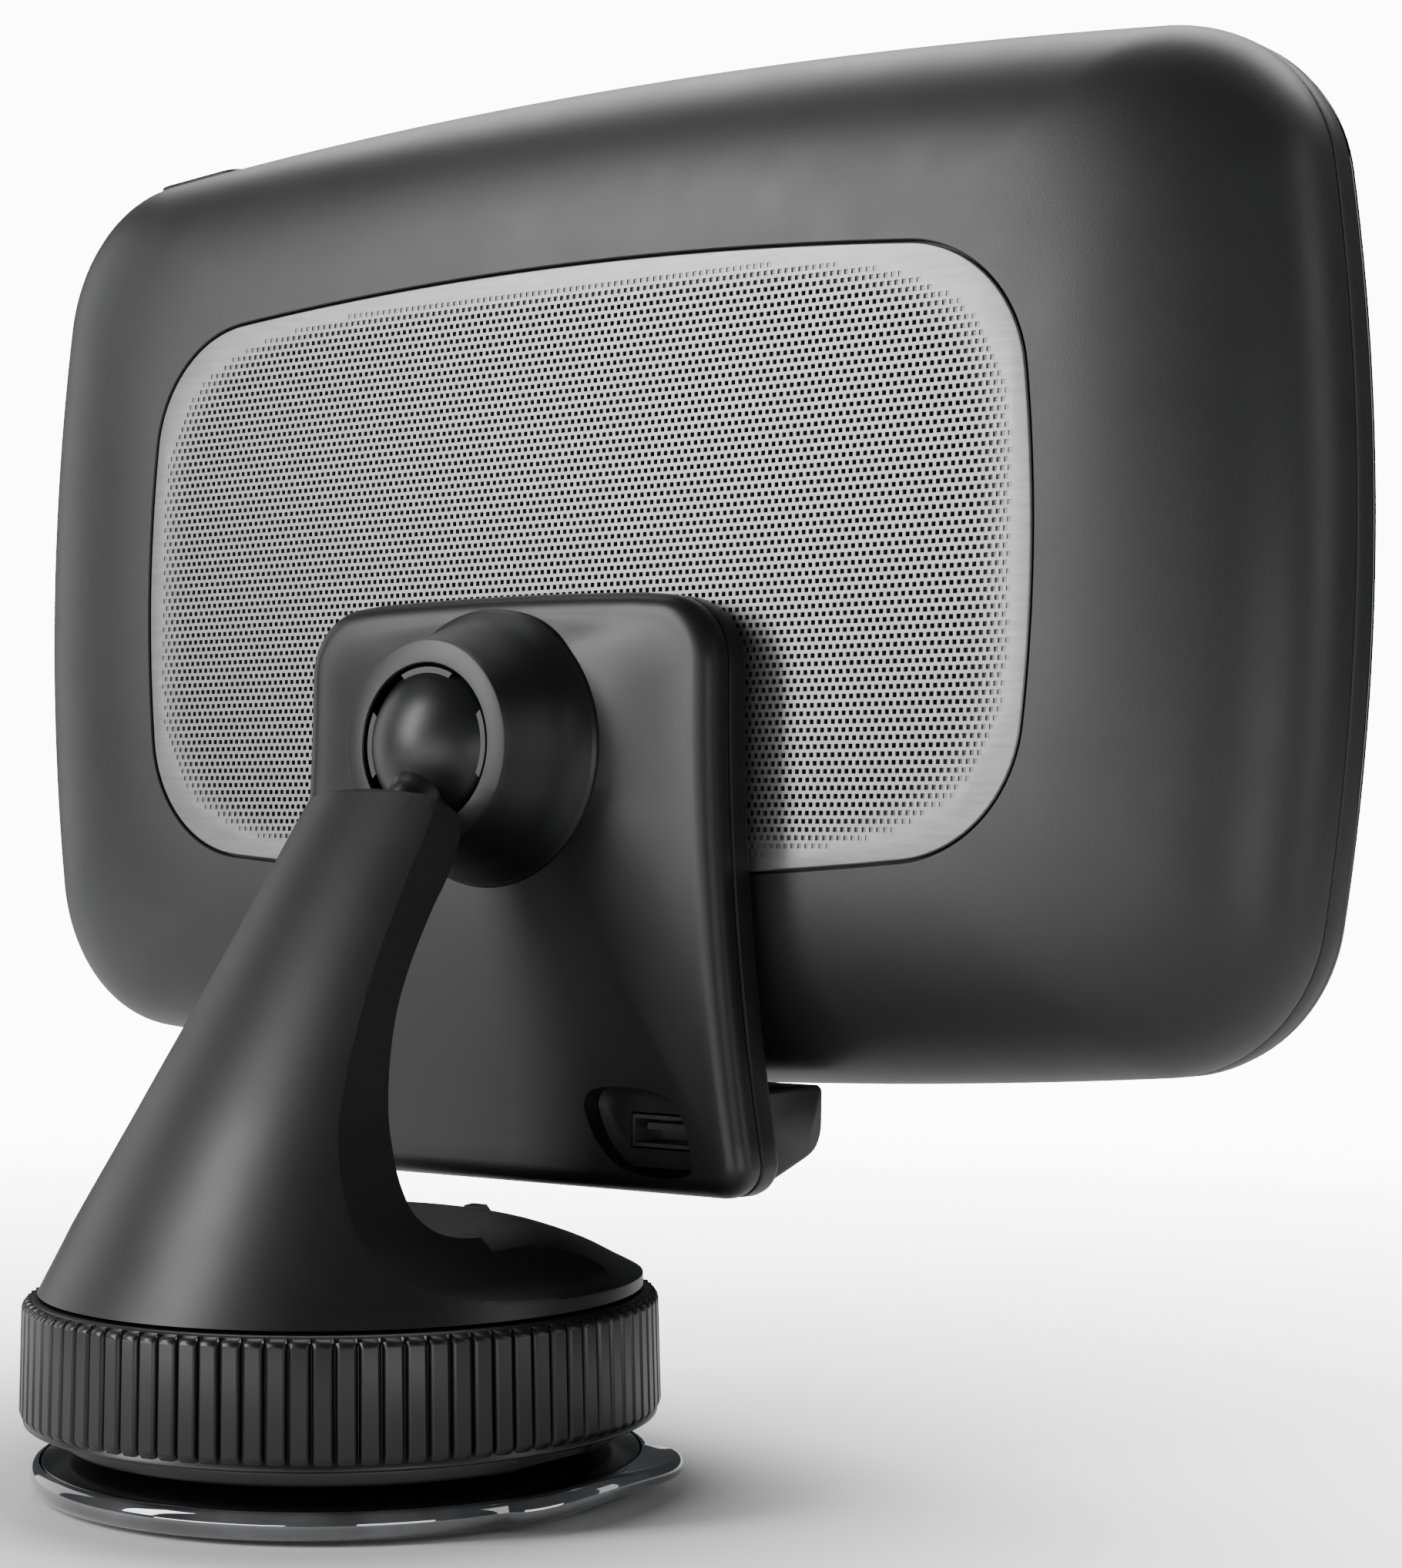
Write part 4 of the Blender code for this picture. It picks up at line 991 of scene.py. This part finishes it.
def build_ring(cfg):
    black = MATERIALS["ring_black"]
    radius = cfg.radius / MM
    core = turned("ring_core", round_profile([
        (22.9, 16.67, 0), (26.7, 16.67, 0.5), (radius - 0.1, 16.0, 0.5), (radius, 6.9, 0.6),
        (27.6, 6.3, 0.3), (27.7, 5.9, 0.2), (27.2, 5.76, 0.1), (22.9, 5.76, 0)]), black, MM_WORLD)
    finish_piece(core, "twist_ring", "satin_black", "lock_ring")
    rows = []
    for z, out, half in ((16.45, -0.3, 0.62), (16.15, 0.2, 0.64), (15.95, 0.34, 0.66),
                         (15.7, 0.40, 0.67), (7.0, 0.62, 0.70), (6.7, 0.52, 0.70),
                         (6.3, 0.2, 0.66)):
        root = half + 0.22
        shoulder = max(out - 0.12, -0.4)
        rows.append([(x, y, z) for x, y in (
            (-0.6, -root), (0.0, -root), (shoulder, -half - 0.05), (out, -half + 0.1),
            (out, half - 0.1), (shoulder, half + 0.05), (0.0, root), (-0.6, root))])
    rib = loft("one_rib", rows, black, MM_WORLD, sharp=40)
    holder = bpy.data.objects.new("ring_ribs", bpy.data.meshes.new("ring_ribs"))
    bpy.context.scene.collection.objects.link(holder)
    rib_group().apply(holder, {"Count": cfg.ribs, "Radius": cfg.radius, "Rib": rib,
                               "Material": black})
    bpy.data.objects.remove(rib, do_unlink=True)
    holder.data.shade_smooth()
    holder.data.set_sharp_from_angle(angle=math.radians(35))
    finish_piece(holder, "twist_ring", "satin_black", "lock_ring")


def build_cup(cfg):
    """Black cone with a clear polished edge that swells into the pull tab."""
    black = MATERIALS["suction_black"]
    tab = cfg.tab / MM
    lift = cfg.lift / MM
    cone = turned("suction_cone", round_profile([
        (9.2, 3.6, 0.3), (21.0, 3.6, 0.8), (26.2, 2.45, 0.3), (25.8, 0.35, 0.2),
        (25.2, 0.0, 0.1), (9.2, 0.0, 0)]), black, MM_WORLD)
    finish_piece(cone, "mount", "suction_black", "suction_cup")
    core = turned("suction_core", [(0, 2.1), (9.0, 2.1), (9.0, 0.02), (0, 0.02)], black, MM_WORLD)
    finish_piece(core, "mount", "suction_black", "suction_cup")
    steps = 360
    rows = [[] for _ in range(14)]
    for i in range(steps):
        turn = 2 * math.pi * i / steps
        bearing = math.degrees(turn)
        off = bearing - TAB_BEARING
        swell = 0.0
        if abs(off) < TAB_SPREAD:
            swell = max(0.0, math.cos(math.radians(off * 90 / TAB_SPREAD))) ** 0.8
        wave = 0.28 * math.sin(math.radians((bearing - 165) * 9)) * swell
        out = RIM_RADIUS + tab * swell
        top = 2.45 + lift * swell ** 2 + wave
        low = 0.12 + (lift + 0.75) * swell ** 2 + wave
        middle = (top + low) / 2
        half = (top - low) / 2
        c = math.cos(turn)
        s = math.sin(turn)
        for k in range(11):
            a = math.radians(90 - 18 * k)
            bulge = out - 0.75 + 0.75 * math.cos(a)
            rows[k].append((bulge * c, bulge * s, middle + half * math.sin(a)))
        for row, r, z in zip(rows[11:], (26.1, 25.9, 26.3), (0.12, 1.2, 2.46)):
            row.append((r * c, r * s, z))
    band = loft("clear_rim", rows, MATERIALS["clear_edge"], MM_WORLD, around=True)
    finish_piece(band, "mount", "suction_black", "suction_cup")
    carrier = turned("carrier_skirt", round_profile([
        (14.0, 5.46, 0), (24.2, 5.46, 0.2), (24.5, 5.2, 0.2), (24.3, 4.0, 0.3), (14.0, 4.0, 0)]),
        MATERIALS["charcoal_shell"], MM_WORLD)
    combine(carrier, [box_cutter("notch", (-28, -5.0, 3), (-23.2, 5.0, 6), MM_WORLD)])
    finish_piece(carrier, "mount", "satin_black", "base_plate")


def paint(look):
    """Every packed node that stays shown gets its slot's procedural material."""
    make_materials(look)
    for node, slot in SLOTS.items():
        obj = frame["nodes"][node]
        obj.data.materials.clear()
        obj.data.materials.append(MATERIALS["dark_steel" if node.startswith("usb_") else slot])


def area_light(name, place, target, width, height, power):
    data = bpy.data.lights.new(name, "AREA")
    data.energy = power
    data.shape = "RECTANGLE"
    data.size = width
    data.size_y = height
    light = bpy.data.objects.new(name, data)
    bpy.context.scene.collection.objects.link(light)
    light.location = place
    aim = Vector(target) - Vector(place)
    light.rotation_euler = aim.to_track_quat("-Z", "Y").to_euler()


def glow_floor(tree, shader):
    """The floor brightens to plain white away from the object, for the camera only."""
    coords = tree.nodes.new("ShaderNodeTexCoord")
    distance = tree.nodes.new("ShaderNodeVectorMath")
    distance.operation = "LENGTH"
    tree.links.new(coords.outputs["Object"], distance.inputs[0])
    far = tree.nodes.new("ShaderNodeMapRange")
    far.inputs["From Min"].default_value = 0.03
    far.inputs["From Max"].default_value = 0.35
    far.inputs["To Max"].default_value = 12.0
    tree.links.new(distance.outputs["Value"], far.inputs["Value"])
    path = tree.nodes.new("ShaderNodeLightPath")
    seen = node_math(tree, "MULTIPLY", far.outputs["Result"], path.outputs["Is Camera Ray"])
    shader.inputs["Emission Color"].default_value = (1, 1, 1, 1)
    tree.links.new(seen, shader.inputs["Emission Strength"])


def build_stage(cfg):
    scene = bpy.context.scene
    bm = bmesh.new()
    bmesh.ops.create_grid(bm, x_segments=1, y_segments=1, size=6.0)
    mat, tree, shader = new_material("floor_white", (0.92, 0.92, 0.92), 0.8)
    tree.links.new(ramp(tree, noise(tree, 3.0, 2.0), (0.91, 0.91, 0.91), (0.93, 0.93, 0.93)),
                   shader.inputs["Base Color"])
    floor = bm_object("floor", bm, mat, Matrix.Translation((0, 0, -0.0003)))
    glow_floor(tree, shader)
    world = scene.world or bpy.data.worlds.new("studio")
    scene.world = world
    world.use_nodes = True
    tree = world.node_tree
    tree.nodes.clear()
    out = tree.nodes.new("ShaderNodeOutputWorld")
    path = tree.nodes.new("ShaderNodeLightPath")
    seen = tree.nodes.new("ShaderNodeBackground")
    fill = tree.nodes.new("ShaderNodeBackground")
    seen.inputs["Color"].default_value = (1, 1, 1, 1)
    seen.inputs["Strength"].default_value = 12.0
    fill.inputs["Color"].default_value = (0.95, 0.97, 1.0, 1)
    fill.inputs["Strength"].default_value = 0.06
    mix = tree.nodes.new("ShaderNodeMixShader")
    tree.links.new(path.outputs["Is Camera Ray"], mix.inputs[0])
    tree.links.new(fill.outputs[0], mix.inputs[1])
    tree.links.new(seen.outputs[0], mix.inputs[2])
    tree.links.new(mix.outputs[0], out.inputs[0])
    for name, place, target, width, height, share in LIGHTS:
        area_light(name, place, target, width, height, cfg.key * share)
    camera = bpy.data.objects.new("camera", bpy.data.cameras.new("camera"))
    scene.collection.objects.link(camera)
    camera.data.lens = cfg.lens
    camera.data.sensor_width = SENSOR_WIDTH
    camera.data.shift_x, camera.data.shift_y = CAMERA_SHIFT
    camera.data.clip_start = 0.01
    camera.location = Vector(CAMERA_PLACE) * MM
    camera.rotation_euler = Vector(CAMERA_FORWARD).to_track_quat("-Z", "Y").to_euler()
    scene.camera = camera


# ---------------------------------------------------------------- operators

def operator(idname, label, doc, build, settings):
    """One operator class that runs a build function with its own settings."""
    def execute(self, context):
        build(getattr(context.scene, settings))
        return {"FINISHED"}
    name = "ALERT_OT_" + idname.split(".")[1]
    return type(name, (bpy.types.Operator,), {
        "bl_idname": idname, "bl_label": label, "__doc__": doc, "execute": execute,
        "bl_options": {"REGISTER", "UNDO"},
    })


OPERATORS = [
    operator("alert.paint", "Paint", "Make the materials and give the packed nodes theirs",
             paint, "alert_look"),
    operator("alert.shell", "Screen Unit Shell", "Rear shell, side band, pane and power cap",
             build_shell, "alert_shell"),
    operator("alert.grille", "Speaker Grille", "Perforated speaker plate",
             build_grille, "alert_grille"),
    operator("alert.dock", "Dock", "Dock back, body and socket recess",
             build_dock, "alert_dock"),
    operator("alert.socket", "Ball Socket", "Collar, clamp fingers and ball with its neck",
             build_socket, "alert_socket"),
    operator("alert.arm", "Leaning Arm", "Arm with rounded edges on its round base",
             build_arm, "alert_arm"),
    operator("alert.ring", "Twist Ring", "Core and ribs of the twist ring",
             build_ring, "alert_ring"),
    operator("alert.cup", "Suction Cup", "Suction disc, clear rim with pull tab, carrier",
             build_cup, "alert_cup"),
    operator("alert.stage", "Stage", "Floor, light and camera", build_stage, "alert_stage"),
]


class ALERT_PT_panel(bpy.types.Panel):
    """Settings and build buttons"""
    bl_idname = "ALERT_PT_panel"
    bl_label = "Alert Display"
    bl_space_type = "VIEW_3D"
    bl_region_type = "UI"
    bl_category = "Alert Display"

    def draw(self, context):
        for name, group in SETTINGS.items():
            column = self.layout.column(align=True)
            for key in group.__annotations__:
                column.prop(getattr(context.scene, name), key)
        for entry in OPERATORS:
            self.layout.operator(entry.bl_idname)


def register():
    for cls in [*SETTINGS.values(), *OPERATORS, ALERT_PT_panel]:
        bpy.utils.register_class(cls)
    for name, group in SETTINGS.items():
        setattr(bpy.types.Scene, name, PointerProperty(type=group))


def unregister():
    for name in SETTINGS:
        delattr(bpy.types.Scene, name)
    for cls in reversed([*SETTINGS.values(), *OPERATORS, ALERT_PT_panel]):
        bpy.utils.unregister_class(cls)


def main():
    register()
    for name in ("paint", "stage", "shell", "grille", "dock", "socket", "arm", "ring", "cup"):
        getattr(bpy.ops.alert, name)()


if __name__ == "__main__":
    main()
